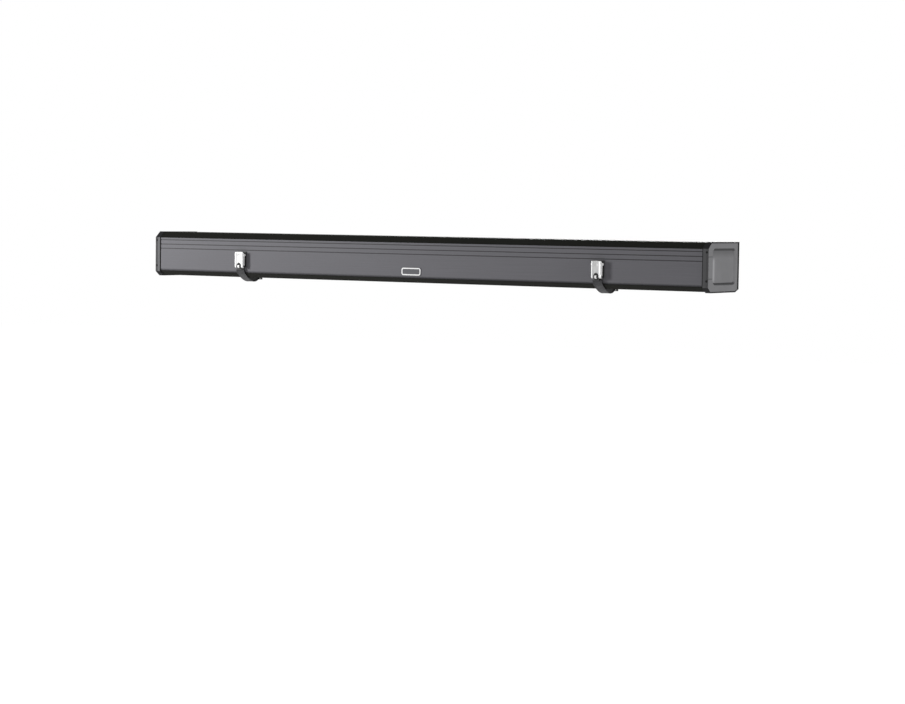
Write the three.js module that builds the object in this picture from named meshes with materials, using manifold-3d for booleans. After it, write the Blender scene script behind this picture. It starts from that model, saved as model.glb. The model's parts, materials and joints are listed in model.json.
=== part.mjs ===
// Vehicle side awning: a hard cassette with a roller, two folding arms, a front rail and two legs.
// Millimetres. Inside the awning group x runs along the vehicle, y from the front face back to the
// vehicle, and z up from the bottom of the case. The group's origin is moved to the middle of the back.
import * as THREE from 'three';
import { mergeVertices } from 'three/addons/utils/BufferGeometryUtils.js';
import Module from 'manifold-3d';

// Case
const overallLength = 2500;
const caseWall = 2.5;
const topChamferDepth = 25;
const topChamferHeight = 22;
const bottomChamferDepth = 22;
const bottomChamferHeight = 17;
const rearChamferDepth = 25;
const rearChamferHeight = 10;

// Bolt channels in the back of the case
const channelSpacing = 80;
const channelMouth = 9;
const channelWidth = 18;
const channelLip = 3;
const channelDepth = 8;
const channelWall = 2.5;

// End caps and their gaskets
const capLength = 22;
const capProud = 2.5;
const capDrop = 1;
const capWall = 4;
const gasketThickness = 4;
const gasketWidth = 5;
const recessMarginFront = 30;
const recessMarginRear = 21;
const recessMarginTop = 19;
const recessMarginBottom = 22;
const recessRadius = 20;
const recessDepth = 6;
const recessSlopeShare = 1.6;
const capSlotFromTop = 50;
const capSlotFromBottom = 46;
const capSlotWidth = 1.6;
const capSlotDepth = 1.2;
const clipHoleFromTop = 34;
const clipHoleFromBottom = 38;
const clipHoleFromEnd = 7;
const clipHoleDiameter = 5;
const clipHoleDepth = 2.5;

// Mounting brackets and their bolts
const bracketFromEnd = 550;
const bracketWidth = 60;
const bracketThickness = 5;
const bracketHeight = 130;
const bracketReach = 70;
const bracketDrop = 125;
const footHoleWidth = 9;
const footHoleLength = 34;
const boltDiameter = 8;
const boltHeadWidth = 15;
const boltHeadThickness = 4.5;
const boltNutDiameter = 15;
const boltNutThickness = 6.5;
const boltEnd = 4;

// Roller and canopy
const rollerDiameter = 50;
const rollerWall = 2;
const rollerEndGap = 46;
const canopyEndGap = 32;
const rollDiameter = 66;
const rollToBack = 32;
const rollToTop = 9;
const plugFlange = 3;
const plugGrip = 30;
const axleDiameter = 14;
const axleLength = 22;
const bearingWidth = 44;
const bearingThickness = 6;
const bearingFootHeight = 20;
const fabricThickness = 1.2;
const fabricTailLength = 4;
const hemDiameter = 7;
const hemGap = 1;

// Folding arms, laid out in the tilted plane that they swing in
const armTiltDegrees = 6;
const railToArm = 45;
const armToRoll = 5;
const armPlaneHeight = 37;
const armPivotFromEnd = 90;
const elbowFromMiddle = 80;
const armWidth = 28;
const armWall = 3;
const armBossDiameter = 34;
const forearmHeight = 20;
const upperArmHeight = 21.5;
const armPinDiameter = 12;
const armPinHeadDiameter = 20;
const armPinHead = 3;
const wristLugThickness = 7.5;
const shoulderLugThickness = 6;
const shoulderWebDepth = 10;
const shoulderFootHeight = 18;
const shoulderToRoll = 13.7;
const shoulderWidth = 44;

// Front rail
const mouthGap = 1;
const railEndGap = 4;
const panelThickness = 3;
const railTopDepth = 48;
const railTopThickness = 3;
const railTopFrontGap = 0.7;
const railLipDepth = 5;
const railLipHeight = 4;
const hemLedge = 4;
const grooveDrops = [8.7, 26, 43];
const grooveWidth = 3.5;
const grooveDepth = 1.8;
const stripHeight = 8.5;
const stripRake = 2.2;
const sealThickness = 1.6;
const sealHeight = 9;
const sealLift = 5;
const castingThickness = 10;
const castingDepth = 40;
const castingDrop = 6;

// Legs
const hingePanelGap = 0.7;
const legDiameter = 28;
const legWall = 1.8;
const legTopGap = 0.5;
const legApart = 2.5;
const legPivotFromEnd = 80;
const legEndOverhang = 14;
const legMiddleGap = 150;
const legSlideGap = 1.2;
const innerLegWall = 1.5;
const innerLegSetback = 30;
const collarWall = 3.7;
const collarLength = 46;
const collarGrip = 26;
const collarRibs = 12;
const collarRibDepth = 1.2;
const footDiameter = 34;
const footLength = 16;
const footPlug = 24;
const innerLegShow = 12;
const legPinDiameter = 8;
const legPinHeadDiameter = 12;
const legPinHead = 2;
const hingeBlockLength = 40;
const hingeEar = 6;
const hingeWeb = 5;
const legSwingGap = 0.7;

// Latches and straps
const latchFromEnd = 440;
const latchBottom = 38;
const latchBasePlate = 3;
const latchBaseWidth = 46;
const latchBaseHeight = 62;
const latchBaseLift = 2;
const latchTongueDrop = 13;
const latchTongueWidth = 24;
const latchTongueHeight = 6;
const latchEarThickness = 3;
const latchEarGap = 24;
const leverWidth = 40;
const leverHeight = 62;
const leverReach = 20;
const leverPlate = 2;
const leverSideSetback = 3;
const leverPivotReach = 11;
const leverPivotLift = 5;
const latchEarMargin = 4;
const leverPinDiameter = 5;
const leverPinHeadDiameter = 8;
const leverPinHead = 1.5;
const strapWidth = 38;
const strapThickness = 2;
const strapReach = 9;
const strapTopDrop = 7;
const strapBow = 14;
const strapRun = 100;
const anchorWidth = 52;
const anchorBarDepth = 7;
const anchorBarThickness = 3;
const anchorRoom = 6;
const anchorFootWidth = 5;

// Badge
const badgeWidth = 87;
const badgeHeight = 29;
const badgeThickness = 1.5;
const badgeLift = 9.5;
const badgeRadius = 3;

// Clearances and roundness
const seatGap = 0.3;
const pinGap = 0.3;
const overrun = 1;
const roundSegments = 20;
const finePinSegments = 12;
const cornerSteps = 4;

// Places along the case that follow from the sizes
const capInner = overallLength / 2 - capLength;
const caseEnd = capInner - gasketThickness;
const railEnd = capInner - railEndGap;
const rollerEnd = capInner - rollerEndGap;
const canopyEnd = rollerEnd - canopyEndGap;
const armPivotX = overallLength / 2 - armPivotFromEnd;
const armLength = armPivotX - elbowFromMiddle;
const legPivotX = overallLength / 2 - legPivotFromEnd;
const outerLegLength = legPivotX - legMiddleGap;
const latchX = overallLength / 2 - latchFromEnd;
const bracketX = overallLength / 2 - bracketFromEnd;

// Heights in the stack of arms and lugs, square to the plane that the arms swing in
const armTilt = THREE.MathUtils.degToRad(armTiltDegrees);
const forearmBottom = wristLugThickness + seatGap;
const forearmTop = forearmBottom + forearmHeight;
const shoulderLowerBottom = forearmTop + seatGap * 5;
const upperArmBottom = shoulderLowerBottom + shoulderLugThickness + seatGap;
const upperArmTop = upperArmBottom + upperArmHeight;
const shoulderTop = upperArmTop + seatGap + shoulderLugThickness;

// Depths from the front face: legs, folded arms, rolled canopy, back wall
const legDepth = panelThickness + hingePanelGap + hingeEar + seatGap + legDiameter / 2;
const armPivotDepth = railTopDepth + railToArm + armBossDiameter / 2;
const rollerDepth = armPivotDepth + armBossDiameter / 2 + armToRoll + rollDiameter / 2;
const caseDepth = rollerDepth + rollDiameter / 2 + rollToBack;
const backInner = caseDepth - caseWall;
const channelInner = caseDepth - channelLip - channelDepth - channelWall;

// Heights from the bottom of the case: shoulder brackets, rolled canopy, top wall, panel and legs
const shoulderFootTop = armPlaneHeight + shoulderLowerBottom + shoulderFootHeight;
const rollerHeight = shoulderFootTop + shoulderToRoll + rollDiameter / 2;
const caseHeight = rollerHeight + rollDiameter / 2 + rollToTop;
const channelHeights = [-1, 1].map((side) => caseHeight / 2 + side * channelSpacing / 2);
const mouthBottom = bottomChamferHeight;
const mouthTop = caseHeight - topChamferHeight;
const panelBottom = mouthBottom + mouthGap;
const panelTop = mouthTop - mouthGap;
const innerLegDiameter = legDiameter - 2 * (legWall + legSlideGap);
const collarDiameter = legDiameter + 2 * (pinGap + collarWall);
const legSwing = Math.hypot(legDiameter / 2, legEndOverhang) + legSwingGap;
const leftLegHeight = panelTop - railTopThickness - legTopGap - hingeWeb - legSwing;
const rightLegHeight = leftLegHeight - legDiameter / 2 - legApart - hingeWeb - legSwing;

const sides = [
  { name: 'left', sign: -1, legHeight: leftLegHeight },
  { name: 'right', sign: 1, legHeight: rightLegHeight },
];

const materials = {
  blackAluminium: standard(0x1d1d1c, 0.45, 0.6),
  railAluminium: standard(0x5c5d60, 0.4, 0.6),
  capPlastic: standard(0x6f7072, 0.6, 0),
  blackPlastic: standard(0x1a1a1b, 0.55, 0),
  rubber: standard(0x141414, 0.85, 0),
  steel: standard(0xc9cacb, 0.3, 1),
  darkSteel: standard(0x3a3b3d, 0.45, 0.9),
  armAluminium: standard(0x8d9093, 0.4, 0.7),
  canopyFabric: standard(0x8b8474, 0.9, 0),
  webbing: standard(0x2b2b2e, 0.9, 0),
};

function standard(color, roughness, metalness) {
  return new THREE.MeshStandardMaterial({ color, roughness, metalness });
}

// Solids and booleans
const wasm = await Module();
wasm.setup();

function toSolid(geometry) {
  const bare = geometry.clone();
  bare.deleteAttribute('normal');
  bare.deleteAttribute('uv');
  const merged = mergeVertices(bare);
  return new wasm.Manifold(new wasm.Mesh({
    numProp: 3,
    vertProperties: Float32Array.from(merged.attributes.position.array),
    triVerts: Uint32Array.from(merged.index.array),
  }));
}

function toGeometry(solid) {
  const mesh = solid.getMesh();
  const geometry = new THREE.BufferGeometry();
  geometry.setAttribute('position', new THREE.BufferAttribute(mesh.vertProperties, 3));
  geometry.setIndex(new THREE.BufferAttribute(mesh.triVerts, 1));
  return geometry;
}

function join(...geometries) {
  return toGeometry(geometries.map(toSolid).reduce((whole, next) => whole.add(next)));
}

function cut(geometry, ...tools) {
  return toGeometry(tools.map(toSolid).reduce((rest, tool) => rest.subtract(tool), toSolid(geometry)));
}

// Extruded outlines, boxes and rods between two places on an axis
function extruded(points, depth, axes, holes = []) {
  const shape = new THREE.Shape(points.map(([u, v]) => new THREE.Vector2(u, v)));
  for (const hole of holes) {
    shape.holes.push(new THREE.Path(hole.map(([u, v]) => new THREE.Vector2(u, v))));
  }
  const geometry = new THREE.ExtrudeGeometry(shape, { depth, bevelEnabled: false });
  return geometry.applyMatrix4(new THREE.Matrix4().makeBasis(...axes));
}

const unitX = new THREE.Vector3(1, 0, 0);
const unitY = new THREE.Vector3(0, 1, 0);
const unitZ = new THREE.Vector3(0, 0, 1);

function prismX(points, a, b, holes) {
  const depth = Math.abs(b - a);
  return extruded(points, depth, [unitY, unitZ, unitX], holes).translate(Math.min(a, b), 0, 0);
}

function prismY(points, a, b, holes) {
  const depth = Math.abs(b - a);
  return extruded(points, depth, [unitX, unitZ, unitY.clone().negate()], holes)
    .translate(0, Math.max(a, b), 0);
}

function prismZ(points, a, b, holes) {
  const depth = Math.abs(b - a);
  return extruded(points, depth, [unitX, unitY, unitZ], holes).translate(0, 0, Math.min(a, b));
}

function box(x, y, z) {
  const size = [x, y, z].map(([a, b]) => Math.abs(b - a));
  const middle = [x, y, z].map(([a, b]) => (a + b) / 2);
  return new THREE.BoxGeometry(...size).translate(...middle);
}

function rod(diameter, length, segments = roundSegments) {
  return new THREE.CylinderGeometry(diameter / 2, diameter / 2, length, segments);
}

function rodX(diameter, a, b, y, z, segments) {
  return rod(diameter, Math.abs(b - a), segments).rotateZ(Math.PI / 2).translate((a + b) / 2, y, z);
}

function rodY(diameter, x, a, b, z, segments) {
  return rod(diameter, Math.abs(b - a), segments).translate(x, (a + b) / 2, z);
}

function rodZ(diameter, x, y, a, b, segments) {
  return rod(diameter, Math.abs(b - a), segments).rotateX(Math.PI / 2).translate(x, y, (a + b) / 2);
}

// A convex outline moved inwards by a distance, or outwards by a negative one
function inset(points, distance) {
  const lines = points.map(([u, v], index) => {
    const [nextU, nextV] = points[(index + 1) % points.length];
    const length = Math.hypot(nextU - u, nextV - v);
    const normal = [-(nextV - v) / length, (nextU - u) / length];
    return { normal, offset: normal[0] * u + normal[1] * v + distance };
  });
  return lines.map((line, index) => {
    const before = lines[(index + lines.length - 1) % lines.length];
    const cross = before.normal[0] * line.normal[1] - before.normal[1] * line.normal[0];
    return [
      (before.offset * line.normal[1] - line.offset * before.normal[1]) / cross,
      (line.offset * before.normal[0] - before.offset * line.normal[0]) / cross,
    ];
  });
}

function roundedRectangle(u, v, radius) {
  const [fromU, toU] = [u[0] + radius, u[1] - radius];
  const [fromV, toV] = [v[0] + radius, v[1] - radius];
  const quarter = Math.PI / 2;
  const shape = new THREE.Shape();
  shape.absarc(toU, fromV, radius, -quarter, 0);
  shape.absarc(toU, toV, radius, 0, quarter);
  shape.absarc(fromU, toV, radius, quarter, 2 * quarter);
  shape.absarc(fromU, fromV, radius, 2 * quarter, 3 * quarter);
  return shape.getPoints(cornerSteps).map((point) => [point.x, point.y]);
}

function part(name, geometry, material) {
  const mesh = new THREE.Mesh(geometry, material);
  mesh.name = name;
  return mesh;
}

// Case: a channel open at the front between two chamfered lips, with two bolt channels in its back
const caseOutline = [
  [0, bottomChamferHeight],
  [bottomChamferDepth, 0],
  [caseDepth - rearChamferDepth, 0],
  [caseDepth, rearChamferHeight],
  [caseDepth, caseHeight],
  [topChamferDepth, caseHeight],
  [0, mouthTop],
];

function caseExtrusion() {
  const shell = prismX(caseOutline, -caseEnd, caseEnd, [inset(caseOutline, caseWall)]);
  const past = caseEnd + overrun;
  const mouth = box([-past, past], [-overrun, caseWall + overrun], [mouthBottom, mouthTop]);
  const bosses = channelHeights.map((height) => {
    const half = channelWidth / 2 + channelWall;
    return box([-caseEnd, caseEnd], [channelInner, caseDepth], [height - half, height + half]);
  });
  const channels = channelHeights.flatMap((height) => [
    box([-past, past], [backInner - overrun, caseDepth + overrun],
      [height - channelMouth / 2, height + channelMouth / 2]),
    box([-past, past], [caseDepth - channelLip - channelDepth, caseDepth - channelLip],
      [height - channelWidth / 2, height + channelWidth / 2]),
  ]);
  return part('case_extrusion', cut(join(shell, ...bosses), mouth, ...channels), materials.blackAluminium);
}

// A dish with a flat floor and walls that slope outwards to a rounded rectangle on the cap's face
function capDish(outer, sign) {
  const across = [recessMarginFront, caseDepth - recessMarginRear];
  const upright = [recessMarginBottom, caseHeight - recessMarginTop];
  const layer = (depth) => {
    const slope = depth * recessSlopeShare;
    const outline = roundedRectangle(
      [across[0] + slope, across[1] - slope],
      [upright[0] + slope, upright[1] - slope],
      recessRadius - slope,
    );
    return prismX(outline, outer - sign * depth, outer - sign * (depth - seatGap));
  };
  return toGeometry(toSolid(join(layer(recessDepth), layer(-overrun))).hull());
}

function endCap({ name, sign }) {
  const outline = inset(caseOutline, -capProud).map(([u, v]) => [u, v - capDrop]);
  const outer = sign * overallLength / 2;
  const inner = sign * capInner;
  const block = prismX(outline, inner, outer);
  const panel = capDish(outer, sign);
  const hollowEnd = outer - sign * (recessDepth + capWall);
  const hollow = prismX(inset(outline, capWall), inner - sign * overrun, hollowEnd);
  const slots = [capSlotFromBottom, caseHeight - capSlotFromTop].map((height) => box(
    [outer - sign * capSlotDepth, outer + sign * overrun],
    [-capProud - overrun, recessMarginFront + overrun],
    [height - capSlotWidth / 2, height + capSlotWidth / 2],
  ));
  const holeX = outer - sign * clipHoleFromEnd;
  const holeEnd = clipHoleDepth - capProud;
  const clipHoles = [clipHoleFromBottom, caseHeight - clipHoleFromTop].map((height) => (
    rodY(clipHoleDiameter, holeX, -capProud - overrun, holeEnd, height, finePinSegments)
  ));
  // a pad behind the back wall closes the ends of the bolt channels
  const padReach = (channelSpacing + channelWidth) / 2 + channelWall;
  const pad = box(
    [inner, hollowEnd + sign * overrun],
    [channelInner, caseDepth - capWall / 2],
    [caseHeight / 2 - padReach, caseHeight / 2 + padReach],
  );
  const geometry = join(cut(block, panel, hollow, ...slots, ...clipHoles), pad);
  return part(`${name}_end_cap`, geometry, materials.capPlastic);
}

function capGasket({ name, sign }) {
  const ring = [inset(caseOutline, gasketWidth)];
  const seat = sign * seatGap;
  const geometry = prismX(inset(caseOutline, -seatGap), sign * caseEnd + seat, sign * capInner - seat, ring);
  return part(`${name}_cap_gasket`, geometry, materials.rubber);
}

// Brackets that bolt the back of the case to a roof rack
function mountBracket({ name, sign }) {
  const middle = sign * bracketX;
  const across = [middle - bracketWidth / 2, middle + bracketWidth / 2];
  const front = caseDepth + seatGap;
  const back = front + bracketThickness;
  const top = caseHeight / 2 + bracketHeight / 2;
  const footTop = caseHeight / 2 + bracketHeight / 2 - bracketDrop;
  const upright = box(across, [front, back], [footTop - bracketThickness, top]);
  const foot = box(across, [front, back + bracketReach], [footTop - bracketThickness, footTop]);
  const holes = channelHeights.map((height) => (
    rodY(boltDiameter + 2 * pinGap, middle, front - overrun, back + overrun, height, finePinSegments)
  ));
  const slotMiddle = back + bracketReach / 2;
  const slot = prismZ(
    roundedRectangle(
      [middle - footHoleWidth / 2, middle + footHoleWidth / 2],
      [slotMiddle - footHoleLength / 2, slotMiddle + footHoleLength / 2],
      footHoleWidth / 2 - pinGap,
    ),
    footTop - bracketThickness - overrun,
    footTop + overrun,
  );
  return part(`${name}_mount_bracket`, cut(join(upright, foot), ...holes, slot), materials.darkSteel);
}

function bracketBolt({ name, sign }, height, level) {
  const middle = sign * bracketX;
  const lipInner = caseDepth - channelLip - seatGap;
  const plateOuter = caseDepth + seatGap + bracketThickness;
  const nutInner = plateOuter + seatGap;
  const head = box(
    [middle - boltHeadWidth / 2, middle + boltHeadWidth / 2],
    [lipInner - boltHeadThickness, lipInner],
    [height - boltHeadWidth / 2, height + boltHeadWidth / 2],
  );
  const nutOuter = nutInner + boltNutThickness;
  const shank = rodY(boltDiameter, middle, lipInner - overrun, nutOuter + boltEnd, height, finePinSegments);
  const nut = rodY(boltNutDiameter, middle, nutInner, nutOuter, height, 6);
  return part(`${name}_${level}_bracket_bolt`, join(head, shank, nut), materials.steel);
}

// Roller, its bearings and the rolled canopy
function rollerTube() {
  const tube = rodX(rollerDiameter, -rollerEnd, rollerEnd, rollerDepth, rollerHeight);
  const past = rollerEnd + overrun;
  const bore = rodX(rollerDiameter - 2 * rollerWall, -past, past, rollerDepth, rollerHeight);
  return part('roller_tube', cut(tube, bore), materials.armAluminium);
}

function rollerPlug({ name, sign }) {
  const face = sign * (rollerEnd + seatGap);
  const flangeOuter = face + sign * plugFlange;
  const gripDiameter = rollerDiameter - 2 * rollerWall - 2 * pinGap;
  const grip = rodX(gripDiameter, face - sign * plugGrip, flangeOuter, rollerDepth, rollerHeight);
  const flange = rodX(rollerDiameter, face, flangeOuter, rollerDepth, rollerHeight);
  const axle = rodX(axleDiameter, face, flangeOuter + sign * axleLength, rollerDepth, rollerHeight);
  return part(`${name}_roller_plug`, join(grip, flange, axle), materials.blackPlastic);
}

function rollerBearing({ name, sign }) {
  const inner = sign * (rollerEnd + seatGap + plugFlange + seatGap * 2);
  const outer = inner + sign * bearingThickness;
  const half = bearingWidth / 2;
  const foot = backInner - seatGap;
  const rounded = roundedRectangle(
    [rollerDepth - half, rollerDepth + half],
    [rollerHeight - half, rollerHeight + half],
    half - overrun,
  );
  const channelTop = channelHeights[1] + channelWidth / 2 + channelWall + seatGap;
  const plate = join(
    prismX(rounded, inner, outer),
    box([inner, outer], [rollerDepth, foot], [channelTop, rollerHeight + half]),
    box(
      [inner, outer + sign * bearingFootHeight],
      [foot - bearingThickness, foot],
      [channelTop, rollerHeight + half],
    ),
  );
  const past = overrun * sign;
  const bore = rodX(axleDiameter + 2 * pinGap, inner - past, outer + past, rollerDepth, rollerHeight);
  return part(`${name}_roller_bearing`, cut(plate, bore), materials.blackPlastic);
}

function fabricRoll() {
  const roll = rodX(rollDiameter, -canopyEnd, canopyEnd, rollerDepth, rollerHeight);
  const past = canopyEnd + overrun;
  const bore = rodX(rollerDiameter + 2 * pinGap, -past, past, rollerDepth, rollerHeight);
  return part('fabric_roll', cut(roll, bore), materials.canopyFabric);
}

const hemY = railTopDepth + hemGap + hemDiameter / 2;
const hemZ = panelTop - railTopThickness / 2 - hemLedge;

function hemBar() {
  const bar = rodX(hemDiameter, -canopyEnd, canopyEnd, hemY, hemZ, finePinSegments);
  return part('hem_bar', bar, materials.blackPlastic);
}

// The short run of canopy between the roll and the hem bar when the awning is shut
function canopyStrip() {
  const under = rollDiameter / 2 + seatGap;
  const front = hemY + hemDiameter / 2 + seatGap;
  const [run, rise] = [rollerDepth - front, rollerHeight - hemZ];
  const slope = Math.atan2(rise, run) + Math.asin(under / Math.hypot(run, rise));
  const tailAngle = fabricTailLength / under;
  const wrap = (radius) => Array.from({ length: cornerSteps + 1 }, (_, step) => {
    const angle = slope - (slope + tailAngle) * step / cornerSteps;
    return [rollerDepth - radius * Math.sin(angle), rollerHeight + radius * Math.cos(angle)];
  });
  const outline = [
    [front, hemZ],
    ...wrap(under),
    ...wrap(under + fabricThickness).reverse(),
    [front, hemZ + fabricThickness],
  ];
  return part('canopy_strip', prismX(outline, -canopyEnd, canopyEnd), materials.canopyFabric);
}

// Folding arms. Inside the linkage group z is square to the plane that the arms swing in.
function armBar(fromX, toX, bottom, top) {
  return box([fromX, toX], [-armWidth / 2, armWidth / 2], [bottom, top]);
}

function armHollow(fromX, toX, bottom, top) {
  const half = armWidth / 2 - armWall;
  return box([fromX, toX], [-half, half], [bottom + armWall, top - armWall]);
}

function armBore(x, bottom, top) {
  return rodZ(armPinDiameter + 2 * pinGap, x, 0, bottom - overrun, top + overrun);
}

function upperArm({ name, sign }) {
  const shoulderX = sign * armPivotX;
  const elbowX = shoulderX - sign * armLength;
  const elbowBottom = forearmTop + seatGap;
  const geometry = cut(
    join(
      armBar(shoulderX, elbowX, upperArmBottom, upperArmTop),
      rodZ(armBossDiameter, shoulderX, 0, upperArmBottom, upperArmTop),
      rodZ(armBossDiameter, elbowX, 0, elbowBottom, upperArmTop),
    ),
    armHollow(shoulderX, elbowX, upperArmBottom, upperArmTop),
    armBore(shoulderX, upperArmBottom, upperArmTop),
    armBore(elbowX, elbowBottom, upperArmTop),
  );
  return part(`${name}_upper_arm`, geometry, materials.armAluminium);
}

function forearm({ name, sign }) {
  const wristX = sign * armPivotX;
  const elbowX = wristX - sign * armLength;
  const geometry = cut(
    join(
      armBar(wristX, elbowX, forearmBottom, forearmTop),
      rodZ(armBossDiameter, wristX, 0, forearmBottom, forearmTop),
      rodZ(armBossDiameter, elbowX, 0, forearmBottom, forearmTop),
    ),
    armHollow(wristX, elbowX, forearmBottom, forearmTop),
    armBore(wristX, forearmBottom, forearmTop),
    armBore(elbowX, forearmBottom, forearmTop),
  );
  return part(`${name}_forearm`, geometry, materials.armAluminium);
}

// A pin with a head at each end, through what lies between two heights
function armPin(nodeName, x, bottom, top) {
  const from = bottom - seatGap;
  const to = top + seatGap;
  const geometry = join(
    rodZ(armPinDiameter, x, 0, from - armPinHead, to + armPinHead),
    rodZ(armPinHeadDiameter, x, 0, from - armPinHead, from),
    rodZ(armPinHeadDiameter, x, 0, to, to + armPinHead),
  );
  return part(nodeName, geometry, materials.steel);
}

function armPins({ name, sign }) {
  const pivotX = sign * armPivotX;
  const elbowX = pivotX - sign * armLength;
  return [
    shoulderPin(name, pivotX),
    armPin(`${name}_elbow_pin`, elbowX, forearmBottom, upperArmTop),
    wristPin(name, pivotX),
  ];
}

// The shoulder and wrist pins share one axis, so their facing ends are flush
function shoulderPin(name, x) {
  const geometry = join(
    rodZ(armPinDiameter, x, 0, shoulderLowerBottom, shoulderTop + seatGap + armPinHead),
    rodZ(armPinHeadDiameter, x, 0, shoulderTop + seatGap, shoulderTop + seatGap + armPinHead),
  );
  return part(`${name}_shoulder_pin`, geometry, materials.steel);
}

function wristPin(name, x) {
  return part(`${name}_wrist_pin`, rodZ(armPinDiameter, x, 0, 0, forearmTop), materials.steel);
}

// Turned fork on the back wall that holds the upper arm's inner end
const linkageMatrix = new THREE.Matrix4()
  .makeTranslation(0, armPivotDepth, armPlaneHeight)
  .multiply(new THREE.Matrix4().makeRotationX(armTilt));

function shoulderBracket({ name, sign }) {
  const x = sign * armPivotX;
  const across = [x - shoulderWidth / 2, x + shoulderWidth / 2];
  const webFront = armBossDiameter / 2 + seatGap * 5;
  const webBack = webFront + shoulderWebDepth;
  const lug = (bottom) => join(
    rodZ(armBossDiameter, x, 0, bottom, bottom + shoulderLugThickness),
    box(
      [x - armBossDiameter / 2, x + armBossDiameter / 2],
      [0, webBack],
      [bottom, bottom + shoulderLugThickness],
    ),
  );
  const bore = armBore(x, shoulderLowerBottom, shoulderTop);
  const fork = join(
    lug(shoulderLowerBottom),
    lug(shoulderTop - shoulderLugThickness),
    box(across, [webFront, webBack], [shoulderLowerBottom, shoulderTop]),
  );
  const forkPlaced = cut(fork, bore).applyMatrix4(linkageMatrix);
  const wallFace = backInner - seatGap;
  const footHeights = [shoulderFootTop - shoulderFootHeight, shoulderFootTop];
  const arm = box(across, [armPivotDepth + webFront, wallFace], footHeights);
  return part(`${name}_shoulder_bracket`, join(forkPlaced, arm), materials.blackAluminium);
}

// Front rail: the grooved panel with its raked foot, its top flange and its bottom lip in one section
function railSection() {
  const flangeBottom = panelTop - railTopThickness;
  const grooves = grooveDrops.flatMap((drop) => {
    const middle = panelTop - drop;
    return [
      [0, middle + grooveWidth / 2],
      [grooveDepth, middle + grooveWidth / 2],
      [grooveDepth, middle - grooveWidth / 2],
      [0, middle - grooveWidth / 2],
    ];
  });
  return [
    [0, panelTop],
    ...grooves,
    [0, panelBottom + stripHeight],
    [stripRake, panelBottom],
    [panelThickness, panelBottom],
    [railLipDepth, panelBottom + railTopFrontGap],
    [railLipDepth, panelBottom + railLipHeight],
    [panelThickness, panelBottom + railLipHeight],
    [panelThickness, flangeBottom],
    [railTopDepth - railTopThickness, flangeBottom],
    [railTopDepth - railTopThickness, flangeBottom - hemLedge],
    [railTopDepth, flangeBottom - hemLedge],
    [railTopDepth, panelTop],
  ];
}

function frontRail() {
  return part('front_rail', prismX(railSection(), -railEnd, railEnd), materials.railAluminium);
}

function railSeal() {
  const front = panelThickness + seatGap;
  const bottom = panelBottom + railLipHeight + sealLift;
  const end = railEnd - castingThickness - seatGap * 2;
  const geometry = box([-end, end], [front, front + sealThickness], [bottom, bottom + sealHeight]);
  return part('rail_seal', geometry, materials.rubber);
}

// Casting in each end of the rail, with the lug that the forearm turns on
function railCasting({ name, sign }) {
  const outerX = sign * railEnd;
  const innerX = outerX - sign * castingThickness;
  const pinX = sign * armPivotX;
  const front = panelThickness + seatGap;
  const bottom = panelBottom + railLipHeight + seatGap;
  const top = panelTop - railTopThickness - seatGap;
  const plate = box([innerX, outerX], [front, front + castingDepth - castingDrop], [bottom, top]);
  const beam = box([innerX, outerX], [-armPivotDepth + castingDepth / 2, 0], [0, wristLugThickness]);
  const radius = armBossDiameter / 2;
  const tongue = box([pinX, outerX], [-radius, radius], [0, wristLugThickness]);
  const eye = rodZ(armBossDiameter, pinX, 0, 0, wristLugThickness);
  const bore = armBore(pinX, 0, wristLugThickness);
  const lug = cut(join(beam, tongue, eye), bore).applyMatrix4(linkageMatrix);
  return part(`${name}_rail_casting`, join(plate, lug), materials.blackAluminium);
}

// Hinge block, pin, tube, lock collar, sliding tube and foot of a leg
function legHinge({ name, sign, legHeight }) {
  const x = sign * legPivotX;
  const innerHalf = legDiameter / 2 + seatGap;
  const [front, back] = [legDepth - innerHalf - hingeEar, legDepth + innerHalf + hingeEar];
  const outline = [
    [front, legHeight - legPinDiameter],
    [legDepth - innerHalf, legHeight - legPinDiameter],
    [legDepth - innerHalf, legHeight + legSwing],
    [legDepth + innerHalf, legHeight + legSwing],
    [legDepth + innerHalf, legHeight - legPinDiameter],
    [back, legHeight - legPinDiameter],
    [back, legHeight + legSwing + hingeWeb],
    [front, legHeight + legSwing + hingeWeb],
  ];
  const block = prismX(outline, x - hingeBlockLength / 2, x + hingeBlockLength / 2);
  const bore = rodY(legPinDiameter + 2 * pinGap, x, front - overrun, back + overrun, legHeight);
  return part(`${name}_leg_hinge`, cut(block, bore), materials.blackPlastic);
}

function legPin({ name, sign, legHeight }) {
  const x = sign * legPivotX;
  const front = legDepth - legDiameter / 2 - seatGap - hingeEar;
  const back = legDepth + legDiameter / 2 + seatGap + hingeEar + seatGap;
  const geometry = join(
    rodY(legPinDiameter, x, front, back + legPinHead, legHeight),
    rodY(legPinHeadDiameter, x, back, back + legPinHead, legHeight),
  );
  return part(`${name}_leg_pin`, geometry, materials.steel);
}

function outerLeg({ name, sign, legHeight }) {
  const pivotX = sign * legPivotX;
  const outerX = pivotX + sign * legEndOverhang;
  const innerX = pivotX - sign * outerLegLength;
  const past = sign * overrun;
  const geometry = cut(
    rodX(legDiameter, outerX, innerX, legDepth, legHeight),
    rodX(legDiameter - 2 * legWall, outerX + past, innerX - past, legDepth, legHeight),
    rodY(legPinDiameter + 2 * pinGap, pivotX, legDepth - legDiameter, legDepth + legDiameter, legHeight),
  );
  return part(`${name}_outer_leg`, geometry, materials.armAluminium);
}

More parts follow.
